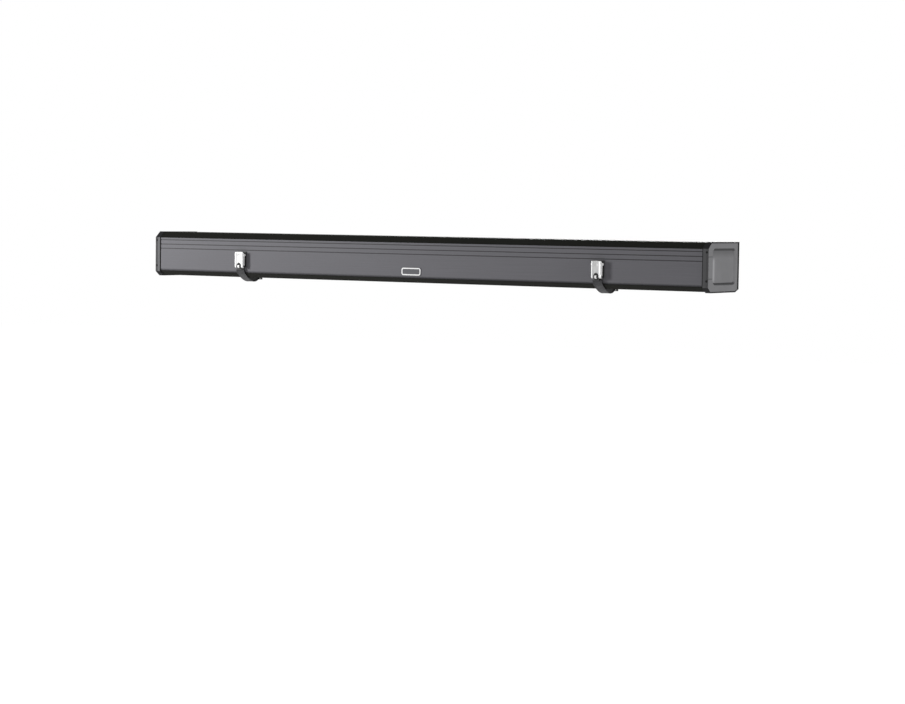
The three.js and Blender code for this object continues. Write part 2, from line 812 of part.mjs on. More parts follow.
function lockCollar({ name, sign, legHeight }) {
  const mouthX = sign * (legPivotX - outerLegLength);
  const gripX = mouthX + sign * collarGrip;
  const endX = gripX - sign * collarLength;
  const past = sign * overrun;
  const seatX = mouthX - sign * seatGap;
  const grooves = Array.from({ length: collarRibs }, (_, index) => {
    const angle = (index + 0.5) / collarRibs * 2 * Math.PI;
    const reach = collarDiameter / 2;
    return rodX(2 * collarRibDepth, gripX + past, endX - past,
      legDepth + reach * Math.cos(angle), legHeight + reach * Math.sin(angle), 6);
  });
  const geometry = cut(
    rodX(collarDiameter, gripX, endX, legDepth, legHeight),
    rodX(legDiameter + 2 * pinGap, gripX + past, seatX, legDepth, legHeight),
    rodX(innerLegDiameter + 2 * pinGap, gripX, endX - past, legDepth, legHeight),
    ...grooves,
  );
  return part(`${name}_lock_collar`, geometry, materials.blackPlastic);
}

function legTipX(sign) {
  const collarEnd = sign * (legPivotX - outerLegLength + collarGrip - collarLength);
  return collarEnd - sign * innerLegShow;
}

function innerLeg({ name, sign, legHeight }) {
  const topX = sign * (legPivotX - innerLegSetback);
  const tipX = legTipX(sign);
  const past = sign * overrun;
  const bore = innerLegDiameter - 2 * innerLegWall;
  const geometry = cut(
    rodX(innerLegDiameter, topX, tipX, legDepth, legHeight),
    rodX(bore, topX + past, tipX - past, legDepth, legHeight),
  );
  return part(`${name}_inner_leg`, geometry, materials.armAluminium);
}

function legFoot({ name, sign, legHeight }) {
  const tipX = legTipX(sign) - sign * seatGap;
  const plugDiameter = innerLegDiameter - 2 * innerLegWall - 2 * pinGap;
  const geometry = join(
    rodX(plugDiameter, tipX + sign * footPlug, tipX - sign * footLength, legDepth, legHeight),
    rodX(footDiameter, tipX, tipX - sign * footLength, legDepth, legHeight),
  );
  return part(`${name}_leg_foot`, geometry, materials.rubber);
}

// Latch: a base with two ears on the rail, and a lever with two sides that swings out and down
const pivotY = -leverPivotReach;
const pivotZ = latchBottom + leverPivotLift;

function latchBase({ name, sign }) {
  const x = sign * latchX;
  const bottom = latchBottom + latchBaseLift;
  const plate = box(
    [x - latchBaseWidth / 2, x + latchBaseWidth / 2],
    [-seatGap - latchBasePlate, -seatGap],
    [bottom, bottom + latchBaseHeight],
  );
  const tongueX = [x - latchTongueWidth / 2, x + latchTongueWidth / 2];
  const tongueBottom = latchBottom - latchTongueDrop;
  const tongue = box(tongueX, [-seatGap - latchBasePlate, -seatGap], [tongueBottom, bottom + overrun]);
  const strapSeat = box(tongueX, [strapThickness / 2 + seatGap - strapReach, -seatGap],
    [tongueBottom, tongueBottom + latchTongueHeight]);
  const ears = [-1, 1].map((end) => {
    const inner = x + end * latchEarGap / 2;
    const outer = inner + end * latchEarThickness;
    const ear = [
      [-seatGap - latchBasePlate / 2, pivotZ - latchEarMargin],
      [-seatGap - latchBasePlate / 2, pivotZ + leverReach],
      [pivotY - latchEarMargin, pivotZ + latchEarMargin],
      [pivotY - latchEarMargin, pivotZ - latchEarMargin],
    ];
    return prismX(ear, inner, outer);
  });
  const reach = latchBaseWidth / 2;
  const bore = rodX(leverPinDiameter + 2 * pinGap, x - reach, x + reach, pivotY, pivotZ, finePinSegments);
  const geometry = cut(join(plate, tongue, strapSeat, ...ears), bore);
  return part(`${name}_latch_base`, geometry, materials.blackPlastic);
}

function latchLever({ name, sign }) {
  const x = sign * latchX;
  const half = leverWidth / 2;
  const top = latchBottom + leverHeight;
  const front = -leverReach;
  const face = box([x - half, x + half], [front, front + leverPlate], [latchBottom, top]);
  const sideBack = -seatGap - latchBasePlate - leverSideSetback;
  const flanges = [-1, 1].map((end) => {
    const outer = x + end * half;
    const flange = [
      [front + leverPlate / 2, latchBottom],
      [pivotY, latchBottom],
      [sideBack, pivotZ],
      [sideBack, top - leverReach / 2],
      [front + leverPlate / 2, top],
    ];
    return prismX(flange, outer - end * leverPlate, outer);
  });
  const boreDiameter = leverPinDiameter + 2 * pinGap;
  const bore = rodX(boreDiameter, x - leverWidth, x + leverWidth, pivotY, pivotZ, finePinSegments);
  return part(`${name}_latch_lever`, cut(join(face, ...flanges), bore), materials.steel);
}

function leverPin({ name, sign }) {
  const x = sign * latchX;
  const inner = leverWidth / 2 + seatGap;
  const outer = inner + leverPinHead;
  const geometry = join(
    rodX(leverPinDiameter, x - outer, x + outer, pivotY, pivotZ, finePinSegments),
    rodX(leverPinHeadDiameter, x - outer, x - inner, pivotY, pivotZ, finePinSegments),
    rodX(leverPinHeadDiameter, x + inner, x + outer, pivotY, pivotZ, finePinSegments),
  );
  return part(`${name}_lever_pin`, geometry, materials.darkSteel);
}

// Strap from the latch round the bottom of the case to its anchor, as a ribbon of even thickness
function strap({ name, sign }) {
  const x = sign * latchX;
  const route = new THREE.SplineCurve([
    new THREE.Vector2(-strapReach, latchBottom - strapTopDrop),
    new THREE.Vector2(-strapReach, bottomChamferHeight / 2),
    new THREE.Vector2(0, -strapBow / 2),
    new THREE.Vector2(strapRun / 4, -strapBow),
    new THREE.Vector2(strapRun / 2, -strapBow),
    new THREE.Vector2(strapRun * 3 / 4, -strapBow * 5 / 8),
    new THREE.Vector2(strapRun, -strapThickness - seatGap),
  ]);
  const along = Array.from({ length: roundSegments + 1 }, (_, index) => index / roundSegments);
  const edge = (offset) => along.map((t) => {
    const point = route.getPoint(t);
    const tangent = route.getTangent(t);
    return [point.x - tangent.y * offset, point.y + tangent.x * offset];
  });
  const outline = [...edge(strapThickness / 2), ...edge(-strapThickness / 2).reverse()];
  const geometry = prismX(outline, x - strapWidth / 2, x + strapWidth / 2);
  return part(`${name}_strap`, geometry, materials.webbing);
}

function strapAnchor({ name, sign }) {
  const x = sign * latchX;
  const half = anchorWidth / 2;
  const depth = [strapRun - anchorBarDepth, strapRun];
  const barTop = -seatGap - anchorRoom;
  const bar = box([x - half, x + half], depth, [barTop - anchorBarThickness, barTop]);
  const feet = [-1, 1].map((end) => {
    const outer = x + end * half;
    return box([outer - end * anchorFootWidth, outer], depth, [barTop - anchorBarThickness / 2, -seatGap]);
  });
  return part(`${name}_strap_anchor`, join(bar, ...feet), materials.darkSteel);
}

function badge() {
  const bottom = panelBottom + badgeLift;
  const across = [-badgeWidth / 2, badgeWidth / 2];
  const outline = roundedRectangle(across, [bottom, bottom + badgeHeight], badgeRadius);
  return part('badge_plate', prismY(outline, -seatGap - badgeThickness, -seatGap), materials.darkSteel);
}

// Assembly
const linkage = new THREE.Group();
linkage.position.set(0, armPivotDepth, armPlaneHeight);
linkage.rotation.x = armTilt;
for (const side of sides) {
  linkage.add(upperArm(side), forearm(side), ...armPins(side));
}

const awning = new THREE.Group();
awning.position.set(0, -caseDepth, -caseHeight / 2);
awning.add(caseExtrusion(), rollerTube(), fabricRoll(), hemBar(), canopyStrip());
awning.add(frontRail(), railSeal(), badge(), linkage);
for (const side of sides) {
  awning.add(endCap(side), capGasket(side), mountBracket(side));
  awning.add(bracketBolt(side, channelHeights[0], 'lower'), bracketBolt(side, channelHeights[1], 'upper'));
  awning.add(rollerPlug(side), rollerBearing(side), shoulderBracket(side), railCasting(side));
  awning.add(legHinge(side), legPin(side), outerLeg(side), lockCollar(side), innerLeg(side), legFoot(side));
  awning.add(latchBase(side), latchLever(side), leverPin(side), strap(side), strapAnchor(side));
}

const root = new THREE.Group();
root.add(awning);
export default root;
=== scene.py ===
"""Looks of a vehicle side awning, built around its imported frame.

Metres. x runs along the vehicle, y back towards it, z up; the origin is the middle of the case's back.
The sizes named below are in millimetres, but for the camera's and the surroundings'. Depths and
heights on the case are measured back from its front face and up from its bottom.
"""
import json
import math
from functools import partial

import bmesh
import bpy
from mathutils import Matrix, Vector


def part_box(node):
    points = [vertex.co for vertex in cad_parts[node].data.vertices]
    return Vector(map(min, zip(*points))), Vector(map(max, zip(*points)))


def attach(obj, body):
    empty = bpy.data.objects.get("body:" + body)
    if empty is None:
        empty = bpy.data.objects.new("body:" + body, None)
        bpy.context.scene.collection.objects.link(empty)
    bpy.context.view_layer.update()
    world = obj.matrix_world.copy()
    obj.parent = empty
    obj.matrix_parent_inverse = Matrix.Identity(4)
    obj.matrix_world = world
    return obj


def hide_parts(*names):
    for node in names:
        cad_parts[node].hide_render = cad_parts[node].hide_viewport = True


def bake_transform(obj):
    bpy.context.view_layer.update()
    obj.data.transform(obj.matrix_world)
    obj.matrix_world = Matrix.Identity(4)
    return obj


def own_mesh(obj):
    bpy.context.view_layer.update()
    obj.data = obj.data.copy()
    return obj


MM = 0.001
SIDES = (("left", -1), ("right", 1))
WHITE = (1, 1, 1)
BLACK = (0, 0, 0)

# Camera of the photograph, with its place and reach in metres and its turns in degrees
FRAME_WIDTH_PX = 905
FOCAL_PX = 2400.84
SENSOR_MM = 36
CAMERA_AZIMUTH = 33.367
CAMERA_ELEVATION = 3.268
CAMERA_ROLL = 0.7735
CAMERA_PLACE = (5.0939, -7.6758, 0.17025)
CAMERA_REACH = 200

# Surroundings, in metres and watts: each light has its place, target, size and power
FLOOR_DROP = 2.25
FLOOR_SIZE = 60
FLOOR_TONE = 0.8
FLOOR_ROUGHNESS = 0.9
FLOOR_GLOW = 0.72
AMBIENT = 0.36
LIGHTS = {
    "front_left": ((-4.2, -3.0, 0.7), (0.2, -0.2, 0), (0.8, 0.8), 250),
    "right_side": ((6.2, -0.5, 0.4), (1.2, -0.1, 0), (1.6, 1.6), 235),
    "rear": ((-1.5, 5.5, 1.6), (0, 0, 0), (3, 2), 230),
}

# Finishes: noise scales are waves to the metre along x, y and z, and a tint is a share of the colour
NOISE_MIDDLE = (0.3, 0.7)
NOISE_ROUGHNESS = 0.55
ALONG = (3, 900, 900)
BLOTCHES = (1.3, 6, 6)
BLOTCH_STRENGTH = 0.3
BLOTCH_TINT_SHARE = 0.8
WEAR_PATCHES = (40, 60, 60)
WEAR_STRENGTH = 0.8
MOULD_CLOUDS = (9, 14, 14)
CLOTH_CLOUDS = (7, 7, 7)
CLOUD_SHARE = 0.08
GRAIN_SPECKLE = 0.35
GRAIN_STRENGTH = 0.35
GRAIN_TINT_SHARE = 0.7
MOULD_UNEVEN_SHARE = 0.1
GLINT_TINT_SHARE = 1.6
BRUSH_DEPTH = 0.15
BRUSH_STRENGTH = 0.12
BRUSHED_UNEVEN_SHARE = 0.15
WORN_EDGE = 1.2
WORN_FACING = (1.0, 0.75)
# The near black that painted shade on moulded parts mixes towards
PAINTED_SHADE_COLOUR = (0.006, 0.006, 0.0065)
WAVE_RADIANS = 20
WEAVE_AXES = ("X", "Y")
RIPSTOP_CREST = (0.93, 1.0)
CANOPY_THREAD = 1.2
CANOPY_RIPSTOP = 6
WEBBING_THREAD = 1.8
THREAD_STRENGTH = 0.5
THREAD_DEPTH_SHARE = 0.3
THREAD_GAP_TINT_SHARE = 0.62
RIPSTOP_TINT_SHARE = 1.2

# Front panel: the depths over which painted shade darkens its grooves
PANEL_GROOVE_DEPTHS = (0.3, 1.5)
PANEL_GROOVE_DARK = 0.64

# End caps: painted shade and a painted highlight, as insets from the outer face, depths and heights
CAP_RIM_INSETS = (9, 13)
CAP_RIM_DARK = 0.52
CAP_SIDES = (-1000, 1000)
CAP_SIDE_DARK = 0.38
CAP_CHAMFER_FACING = (-0.97, -0.85)
CAP_CHAMFER_DARK = 0.93
CAP_SKIRT_FACING = (0.7, 0.45)
CAP_FACE_FACING = (0.5, 0.8)
CAP_TRIM = 5
CAP_REAR_TRIM = 13
CAP_TRIM_SHARE = 0.8
CAP_SLANT = math.atan(0.4)
CAP_SLANT_RISE = 11
CAP_WALL_FACING = (0.25, 0.5)
CAP_WALL_INSETS = (0.5, 2)
CAP_WALL_DARK = 0.72
# Painted shade below the top of a cap's recess
CAP_TOP_SHADE_HEIGHTS = (118, 150)
CAP_TOP_SHADE_INSETS = (4, 6)
CAP_TOP_SHADE_DARK = 0.45
CAP_SLOT_DEPTHS = (31, 29)
CAP_SLOT_INSETS = (0.4, 1.0)
CAP_SLOT_DARK = 0.8
# Painted highlight along the front of a cap's recess
CAP_GLINT_INSETS = (2, 4)
CAP_GLINT_DEPTHS = ((34, 40), (60, 50))
CAP_GLINT_HEIGHTS = ((28, 44), (122, 108))

# Soft edges and even shading, with the angles in degrees
SHARP_ANGLE = 32
FLAT_ANGLE = 1
EDGE_WIDTHS = {
    "case_extrusion": 0.8, "front_rail": 0.35, "end_cap": 1.4, "cap_gasket": 0.3, "mount_bracket": 1.0,
    "bracket_bolt": 0.6, "roller_bearing": 0.6, "shoulder_bracket": 1.0, "shoulder_pin": 0.5,
    "elbow_pin": 0.6, "wrist_pin": 0.4, "rail_casting": 1.0, "leg_hinge": 1.0, "leg_pin": 0.4,
    "latch_base": 0.5, "lever_pin": 0.3, "strap_anchor": 0.6, "badge_plate": 0.4,
}

# Strap: its route round the bottom of the case, in depth and height, and its section in shares of the
# selvedge's width and of half the thickness
STRAP_ROUTE = ((-9, 31), (-7.8, 24), (-2, 15.2), (8, 7.2), (20, -1.6), (37, -11), (56, -16.2), (70, -15),
               (82, -10.2), (92, -4.6), (100, -2.3))
STRAP_STEPS = 10
STRAP_HALF_THICKNESS = 1
STRAP_RIBS = 4
STRAP_RIB_SHARES = (0.7, 0.8)
SELVEDGE = 3
SELVEDGE_SHARES = ((0, 0), (0.1, 0.7), (0.4, 1), (0.867, 1), (1.067, 0.72))

# Stitches: a row along each edge of a strap, and two rows across it under the latch
STITCH_PITCH = 5
STITCH_LENGTH = 3.1
STITCH_RADIUS = 0.35
STITCH_LIFT = 0.95
STITCH_ROW = 13.5
STITCH_CROSS_ROWS = (4, 20)
STITCH_CROSS_START = -12
STITCH_CROSS_COUNT = 5

# Shade filler: a dark moulded saddle under the case that fills the strap's bight, standing in for shade
FILLER_HALF = 16.5
FILLER_CLEARANCE = 1.5
FILLER_TOP = -0.2
FILLER_MARGIN = 0.5
FILLER_EDGE = 0.6

# Latch lever, pressed from one sheet: its section in shares of its half width and of the sheet
LEVER_SHEET = 1.4
LEVER_SECTION_SHARES = ((0, 1), (0.2, 1), (0.4, 1), (0.565, 1), (0.63, 0.893), (0.68, 0.536), (0.73, 0.143),
                        (0.79, 0), (0.86, 0.071), (0.93, 0.429), (0.975, 1.071), (1, 2))
LEVER_FLANGE_STEPS = 4
LEVER_ROWS = 30
LEVER_SMOOTH = 50
LEVER_NOTCH_WIDTH = 23
LEVER_NOTCH_HEIGHT = 20
LEVER_TOP_TAPER = 10
LEVER_TOP_SLOPE = 1.27
LEVER_FOOT_TAPER = 5
LEVER_FOOT_SLOPE = 0.94
LEVER_LEAST_DEPTH = 1
LEVER_FACE_DEPTH = 3
LEVER_BEND = 3
LEVER_TOP_BEND = 2.2
LEVER_FOOT_BEND = 1.2
LEVER_DIMPLE_RADIUS = 3.6
LEVER_DIMPLE_DROP = 13
LEVER_DIMPLE_DEPTH = 1.5
# Painted shade in the lever's pressed field
FIELD_FACING = (-0.8, -0.95)
FIELD_DEPTHS = ((0.8, 1.2), (3.4, 3.1))
FIELD_DARK = 0.3

# Wire loop, hook and stop pin of a latch: the loop's leg goes inwards, back and up, the hook back and up,
# and the pin's head has shares of its rise and its radius
LOOP_WIRE = 1.7
LOOP_SIDE_GAP = 1
LOOP_TOP_GAP = 2.6
LOOP_DEPTH = 1.4
LOOP_STEPS = 16
LOOP_LEG_ROUTE = ((0, 3, 2), (0, 7.5, -4), (2, 8, -6.5))
HOOK_ROUTE = ((8.5, 10), (5.5, 11.5), (2.4, 10.5), (0.9, 7.2), (0.8, 3.4), (2.2, 0.2), (5.2, -1))
HOOK_STEPS = 4
HOOK_SPAN = (-5.6, 2.4)
HOOK_HALF_THICKNESS = 0.8
HOOK_EDGE = 0.3
STOP_RADIUS = 2
STOP_END = 0.5
STOP_DEPTH = 3.2
STOP_DROP = 12
STOP_HEAD_SINK = 1
STOP_HEAD_RISE = 4.4
STOP_HEAD_RADIUS = 4.9
STOP_HEAD_SHARES = ((0.636, 1), (0.909, 0.857), (1, 0.571))

# Canopy
CLOTH = 0.6
CLOTH_PITCH = 1.2
CLOTH_HEM = 20
CLOTH_SMOOTH = 60
CANOPY_SEAMS = (-760, 0, 760)
SEAM_HALF = 8
SEAM_LIFT = 0.5
SEAM_STEP = 1
COLUMN_PITCH = 90
ROLL_STEPS = 48
ROLL_GAP = 0.2
ROLL_INSET = 1.6
ROLL_WANDERS = ((0.9, 5), (0.6, 11.3))
STRIP_GAP = 0.2
STRIP_STEPS = 60
STRIP_WRAP = 4
STRIP_WRAP_STEPS = 8
SLEEVE_GAP = 0.1
SLEEVE_ANGLES = range(60, 361, 15)
SLEEVE_INSET = 4
ROD_CHAMFER = 1
ROLLER_WALL = 2
ROLLER_STEPS = 96
KEYWAY_ANGLE = 2.2
KEYWAY_HALF = 3.4
KEYWAY_DEPTH = 3

# Arms, in the plane that they swing in, with half the widths of a bar's grooves
ARM_TILT = 6
ARM_PIVOT_DEPTH = 110
ARM_PLANE_HEIGHT = 37
SHOULDER_REACH = 1160
ELBOW_REACH = 80
ARM_HALF = 13.2
ARM_GAP = 0.3
FOREARM_SPAN = (7.8, 27.8)
UPPER_ARM_SPAN = (35.6, 57.1)
BAR_INSET = 30
BAR_SHY = 0.9
BAR_CORNER = 3
BAR_CORNER_SHARE = 0.3
BAR_GROOVE_SHARES = (0.34, 0.66)
BAR_GROOVE_DEPTH = 1.6
BAR_GROOVE_MOUTH = 1.6
BAR_GROOVE_FLOOR = 0.9
KNUCKLE_RADIUS = 17
KNUCKLE_LENGTH = 62
KNUCKLE_WALL = 0.8
KNUCKLE_NECK_SHARE = 1.3
KNUCKLE_CORNER = (4, 3)
KNUCKLE_CHAMFER = 1.2
KNUCKLE_EDGE = 0.5
KNUCKLE_ANGLES = range(-100, 101, 10)
BOSS_CHAMFER = 1
BOSS_OVERLAP = 2

# Legs, with the bores as radii: a collar's lip has shares of its length, its drop and its ribs' depth, a
# foot has shares of its length and its radius, and a tread has shares of its pitch and its depth
OUTER_LEG_BORE = 12.2
INNER_LEG_BORE = 9.5
LEG_CHAMFER = 0.5
MARK_START = 200
MARK_PITCH = 100
MARK_COUNT = 9
MARK_HALF = 1.1
MARK_FLOOR_HALF = 0.8
MARK_DEPTH = 0.35
COLLAR_BORE = 14.25
COLLAR_RIBS = 12
COLLAR_STEPS = 144
COLLAR_RIB_DEPTH = 1.1
COLLAR_LIP = 7
COLLAR_DROP = 2.4
COLLAR_LIP_SHARES = ((0, 1, 0), (0.314, 0.083, 0), (0.714, 0, 0), (1, 0, 1))
FOOT_SHARES = ((0, 0.529), (0.025, 0.541), (0.575, 0.541), (0.6, 0.729), (0.62, 0.753), (0.75, 0.8),
               (0.85, 0.929), (0.875, 0.965), (0.9, 1), (0.975, 1), (1, 0.941))
TREAD_PITCH = 4
TREAD_COUNT = 3
TREAD_DEPTH = 1.4
TREAD_SHARES = ((0.05, 0), (0.125, 1), (0.45, 1), (0.525, 0))

# End caps' clip buttons, with shares of their rise and their radius, and the badge's rim
CLIP_HEIGHTS = {"lower": 38, "upper": 139}
CLIP_INSET = 7
CLIP_STEM = 2.4
CLIP_SINK = 1.8
CLIP_RADIUS = 4.2
CLIP_RISE = 0.7
CLIP_SHARES = ((0.143, 1), (0.714, 0.929), (1, 0.619), (0.714, 0.31))
BADGE_MARGIN = 0.4
BADGE_CORNER = 8.5
BADGE_RIM = (4.8, 4.6)
BADGE_RIM_CORNER = 4.2
BADGE_SINK = 0.3
BADGE_RISE = 0.15

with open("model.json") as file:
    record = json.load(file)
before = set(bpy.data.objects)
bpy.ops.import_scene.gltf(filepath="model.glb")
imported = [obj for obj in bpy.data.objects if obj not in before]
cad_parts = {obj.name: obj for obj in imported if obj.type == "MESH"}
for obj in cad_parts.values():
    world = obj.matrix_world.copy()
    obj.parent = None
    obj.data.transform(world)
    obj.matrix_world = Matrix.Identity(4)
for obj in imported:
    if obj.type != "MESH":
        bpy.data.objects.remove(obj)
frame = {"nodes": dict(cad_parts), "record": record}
scene = bpy.context.scene
nodes = frame["nodes"]
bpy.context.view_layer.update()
FRONT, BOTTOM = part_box("case_extrusion")[0].yz
FINISHES = {}


# Shader nodes
def link(tree, output, socket):
    tree.links.new(output, socket)


def calc(tree, kind, *values):
    node = tree.nodes.new("ShaderNodeMath")
    node.operation = kind
    for socket, value in zip(node.inputs, values):
        if isinstance(value, bpy.types.NodeSocket):
            link(tree, value, socket)
        else:
            socket.default_value = value
    return node.outputs[0]


def chain(tree, kind, first, *others):
    """All the values taken together, such as their product or the greatest of them."""
    for value in others:
        first = calc(tree, kind, first, value)
    return first


def ramp(tree, value, start, end, low=0.0, high=1.0):
    """A value's range from start to end mapped to low and high, and held there outside it."""
    node = tree.nodes.new("ShaderNodeMapRange")
    for socket, number in (("From Min", start), ("From Max", end), ("To Min", low), ("To Max", high)):
        node.inputs[socket].default_value = number
    link(tree, value, node.inputs["Value"])
    return node.outputs["Result"]


def fade(tree, value, origin, span, low=0.0, high=1.0):
    """A ramp over a span that is given in millimetres from its origin."""
    return ramp(tree, value, origin + span[0] * MM, origin + span[1] * MM, low, high)


def spread(tree, value, low, high):
    """A noise's middle range mapped to low and high."""
    return ramp(tree, value, *NOISE_MIDDLE, low, high)


def noise(tree, scale, detail):
    place = tree.nodes.new("ShaderNodeTexCoord")
    mapping = tree.nodes.new("ShaderNodeMapping")
    mapping.inputs["Scale"].default_value = scale
    link(tree, place.outputs["Object"], mapping.inputs["Vector"])
    texture = tree.nodes.new("ShaderNodeTexNoise")
    for socket, number in (("Scale", 1), ("Detail", detail), ("Roughness", NOISE_ROUGHNESS)):
        texture.inputs[socket].default_value = number
    link(tree, mapping.outputs["Vector"], texture.inputs["Vector"])
    return texture.outputs["Fac"]


def waves(tree, direction, pitch):
    """Bands across one axis of the map; a wave texture turns 20 radians in one unit of its scale."""
    place = tree.nodes.new("ShaderNodeTexCoord")
    texture = tree.nodes.new("ShaderNodeTexWave")
    texture.bands_direction = direction
    texture.inputs["Scale"].default_value = 2 * math.pi / WAVE_RADIANS / (pitch * MM)
    link(tree, place.outputs["UV"], texture.inputs["Vector"])
    return texture.outputs["Fac"]


def parts_of(tree, kind):
    """The x, y and z of an object's own coordinates or normals."""
    place = tree.nodes.new("ShaderNodeTexCoord")
    split = tree.nodes.new("ShaderNodeSeparateXYZ")
    link(tree, place.outputs[kind], split.inputs["Vector"])
    return split.outputs


def mixed(tree, factor, first, second):
    mix = tree.nodes.new("ShaderNodeMix")
    mix.data_type = "RGBA"
    link(tree, factor, mix.inputs["Factor"])
    for socket, value in ((mix.inputs[6], first), (mix.inputs[7], second)):
        if isinstance(value, bpy.types.NodeSocket):
            link(tree, value, socket)
        else:
            socket.default_value = (*value, 1)
    return mix.outputs[2]


def bump(tree, height, strength, depth):
    node = tree.nodes.new("ShaderNodeBump")
    node.inputs["Strength"].default_value = strength
    node.inputs["Distance"].default_value = depth * MM
    link(tree, height, node.inputs["Height"])
    return node.outputs["Normal"]


def edge_mask(tree):
    """1 on outside edges and 0 on flat faces."""
    rounded_off = tree.nodes.new("ShaderNodeBevel")
    rounded_off.inputs["Radius"].default_value = WORN_EDGE * MM
    rounded_off.samples = 4
    flat = tree.nodes.new("ShaderNodeNewGeometry")
    dot = tree.nodes.new("ShaderNodeVectorMath")
    dot.operation = "DOT_PRODUCT"
    link(tree, rounded_off.outputs["Normal"], dot.inputs[0])
    link(tree, flat.outputs["Normal"], dot.inputs[1])
    return ramp(tree, dot.outputs["Value"], *WORN_FACING)


def seen_directly(tree):
    """1 to the camera, to gloss and through glass, and 0 to everything else."""
    path = tree.nodes.new("ShaderNodeLightPath")
    rays = ("Is Camera Ray", "Is Glossy Ray", "Is Transmission Ray")
    return chain(tree, "MAXIMUM", *[path.outputs[kind] for kind in rays])


# Camera, light and floor
def make_camera():
    data = bpy.data.cameras.new("camera")
    data.sensor_width = SENSOR_MM
    data.lens = SENSOR_MM * FOCAL_PX / FRAME_WIDTH_PX
    data.clip_end = CAMERA_REACH
    camera = bpy.data.objects.new("camera", data)
    pose = Matrix.Translation(CAMERA_PLACE)
    for degrees, axis in ((CAMERA_AZIMUTH, "Z"), (90 - CAMERA_ELEVATION, "X"), (CAMERA_ROLL, "Z")):
        pose = pose @ Matrix.Rotation(math.radians(degrees), 4, axis)
    camera.matrix_world = pose
    scene.collection.objects.link(camera)
    scene.camera = camera


def make_world():
    """White where it is seen, and a plain dimmer white as light."""
    world = bpy.data.worlds.new("studio")
    world.use_nodes = True
    tree = world.node_tree
    background = tree.nodes["Background"]
    background.inputs["Color"].default_value = (*WHITE, 1)
    link(tree, ramp(tree, seen_directly(tree), 0, 1, AMBIENT, 1), background.inputs["Strength"])
    scene.world = world


def make_lights():
    for name, (place, target, size, power) in LIGHTS.items():
        data = bpy.data.lights.new(name, "AREA")
        data.shape = "RECTANGLE"
        data.size, data.size_y = size
        data.energy = power
        light = bpy.data.objects.new(name, data)
        light.location = place
        light.rotation_euler = (Vector(target) - Vector(place)).to_track_quat("-Z", "Y").to_euler()
        scene.collection.objects.link(light)


def make_floor():
    mesh = bpy.data.meshes.new("floor")
    half = FLOOR_SIZE / 2
    corners = [(-half, -half), (half, -half), (half, half), (-half, half)]
    mesh.from_pydata([(x, y, -FLOOR_DROP) for x, y in corners], [], [(0, 1, 2, 3)])
    floor = bpy.data.objects.new("floor", mesh)
    scene.collection.objects.link(floor)
    material = bpy.data.materials.new("pale_floor")
    material.use_nodes = True
    tree = material.node_tree
    shader = tree.nodes["Principled BSDF"]
    shader.inputs["Base Color"].default_value = (FLOOR_TONE, FLOOR_TONE, FLOOR_TONE, 1)
    shader.inputs["Roughness"].default_value = FLOOR_ROUGHNESS
    shader.inputs["Specular IOR Level"].default_value = 0
    shader.inputs["Emission Color"].default_value = (*WHITE, 1)
    glow = calc(tree, "MULTIPLY", seen_directly(tree), FLOOR_GLOW)
    link(tree, glow, shader.inputs["Emission Strength"])
    mesh.materials.append(material)


# Painted shade and painted highlight: where a finish is darker or paler
def painted_groove_shade(tree):
    """Painted shade in the panel's grooves and down its raked foot."""
    return fade(tree, parts_of(tree, "Object")["Y"], FRONT, PANEL_GROOVE_DEPTHS, 0, PANEL_GROOVE_DARK)


def cap_place(tree):
    """A point's own place on a cap, and how far in from the cap's outer face it is."""
    place = parts_of(tree, "Object")
    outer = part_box("right_end_cap")[1].x
    return place, calc(tree, "SUBTRACT", outer, calc(tree, "ABSOLUTE", place["X"]))


def cap_border(tree, place):
    """Fades to dark at the top, rear, bottom and slanted edges of a cap's face."""
    low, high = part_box("right_end_cap")
    down, along = math.sin(CAP_SLANT), math.cos(CAP_SLANT)
    slant = calc(tree, "SUBTRACT", calc(tree, "MULTIPLY", place["Y"], down),
                 calc(tree, "MULTIPLY", place["Z"], along))
    corner = high.y * down - (low.z + CAP_SLANT_RISE * MM) * along
    edges = ((place["Z"], high.z, -CAP_TRIM), (place["Y"], high.y, -CAP_REAR_TRIM),
             (place["Z"], low.z, CAP_TRIM), (slant, corner, -CAP_TRIM))
    return [fade(tree, value, edge, (width, width * CAP_TRIM_SHARE)) for value, edge, width in edges]


def cap_shadow(tree):
    """Painted shade on a cap's skirt, in its slots and in its recess, and a dark edge round its face."""
    facing = parts_of(tree, "Normal")
    place, inset = cap_place(tree)
    outward, upright = [calc(tree, "ABSOLUTE", facing[axis]) for axis in ("X", "Z")]
    rim = chain(
        tree, "MAXIMUM",
        fade(tree, inset, 0, CAP_RIM_INSETS, CAP_RIM_DARK, 0),
        fade(tree, place["X"], 0, CAP_SIDES, 0, CAP_SIDE_DARK),
        ramp(tree, facing["Y"], *CAP_CHAMFER_FACING, 0, CAP_CHAMFER_DARK),
    )
    skirt = calc(tree, "MULTIPLY", ramp(tree, outward, *CAP_SKIRT_FACING), rim)
    wall = calc(tree, "MULTIPLY", ramp(tree, upright, *CAP_WALL_FACING, 0, CAP_WALL_DARK),
                fade(tree, inset, 0, CAP_WALL_INSETS))
    recess_top_shade = calc(tree, "MULTIPLY", fade(tree, place["Z"], BOTTOM, CAP_TOP_SHADE_HEIGHTS, 0, CAP_TOP_SHADE_DARK),
                fade(tree, inset, 0, CAP_TOP_SHADE_INSETS))
    slots = calc(tree, "MULTIPLY", fade(tree, place["Y"], FRONT, CAP_SLOT_DEPTHS, 0, CAP_SLOT_DARK),
                 fade(tree, inset, 0, CAP_SLOT_INSETS))
    dark = chain(tree, "MAXIMUM", wall, recess_top_shade, slots, *cap_border(tree, place))
    face = calc(tree, "MULTIPLY", dark, ramp(tree, outward, *CAP_FACE_FACING))
    return calc(tree, "MAXIMUM", skirt, face)


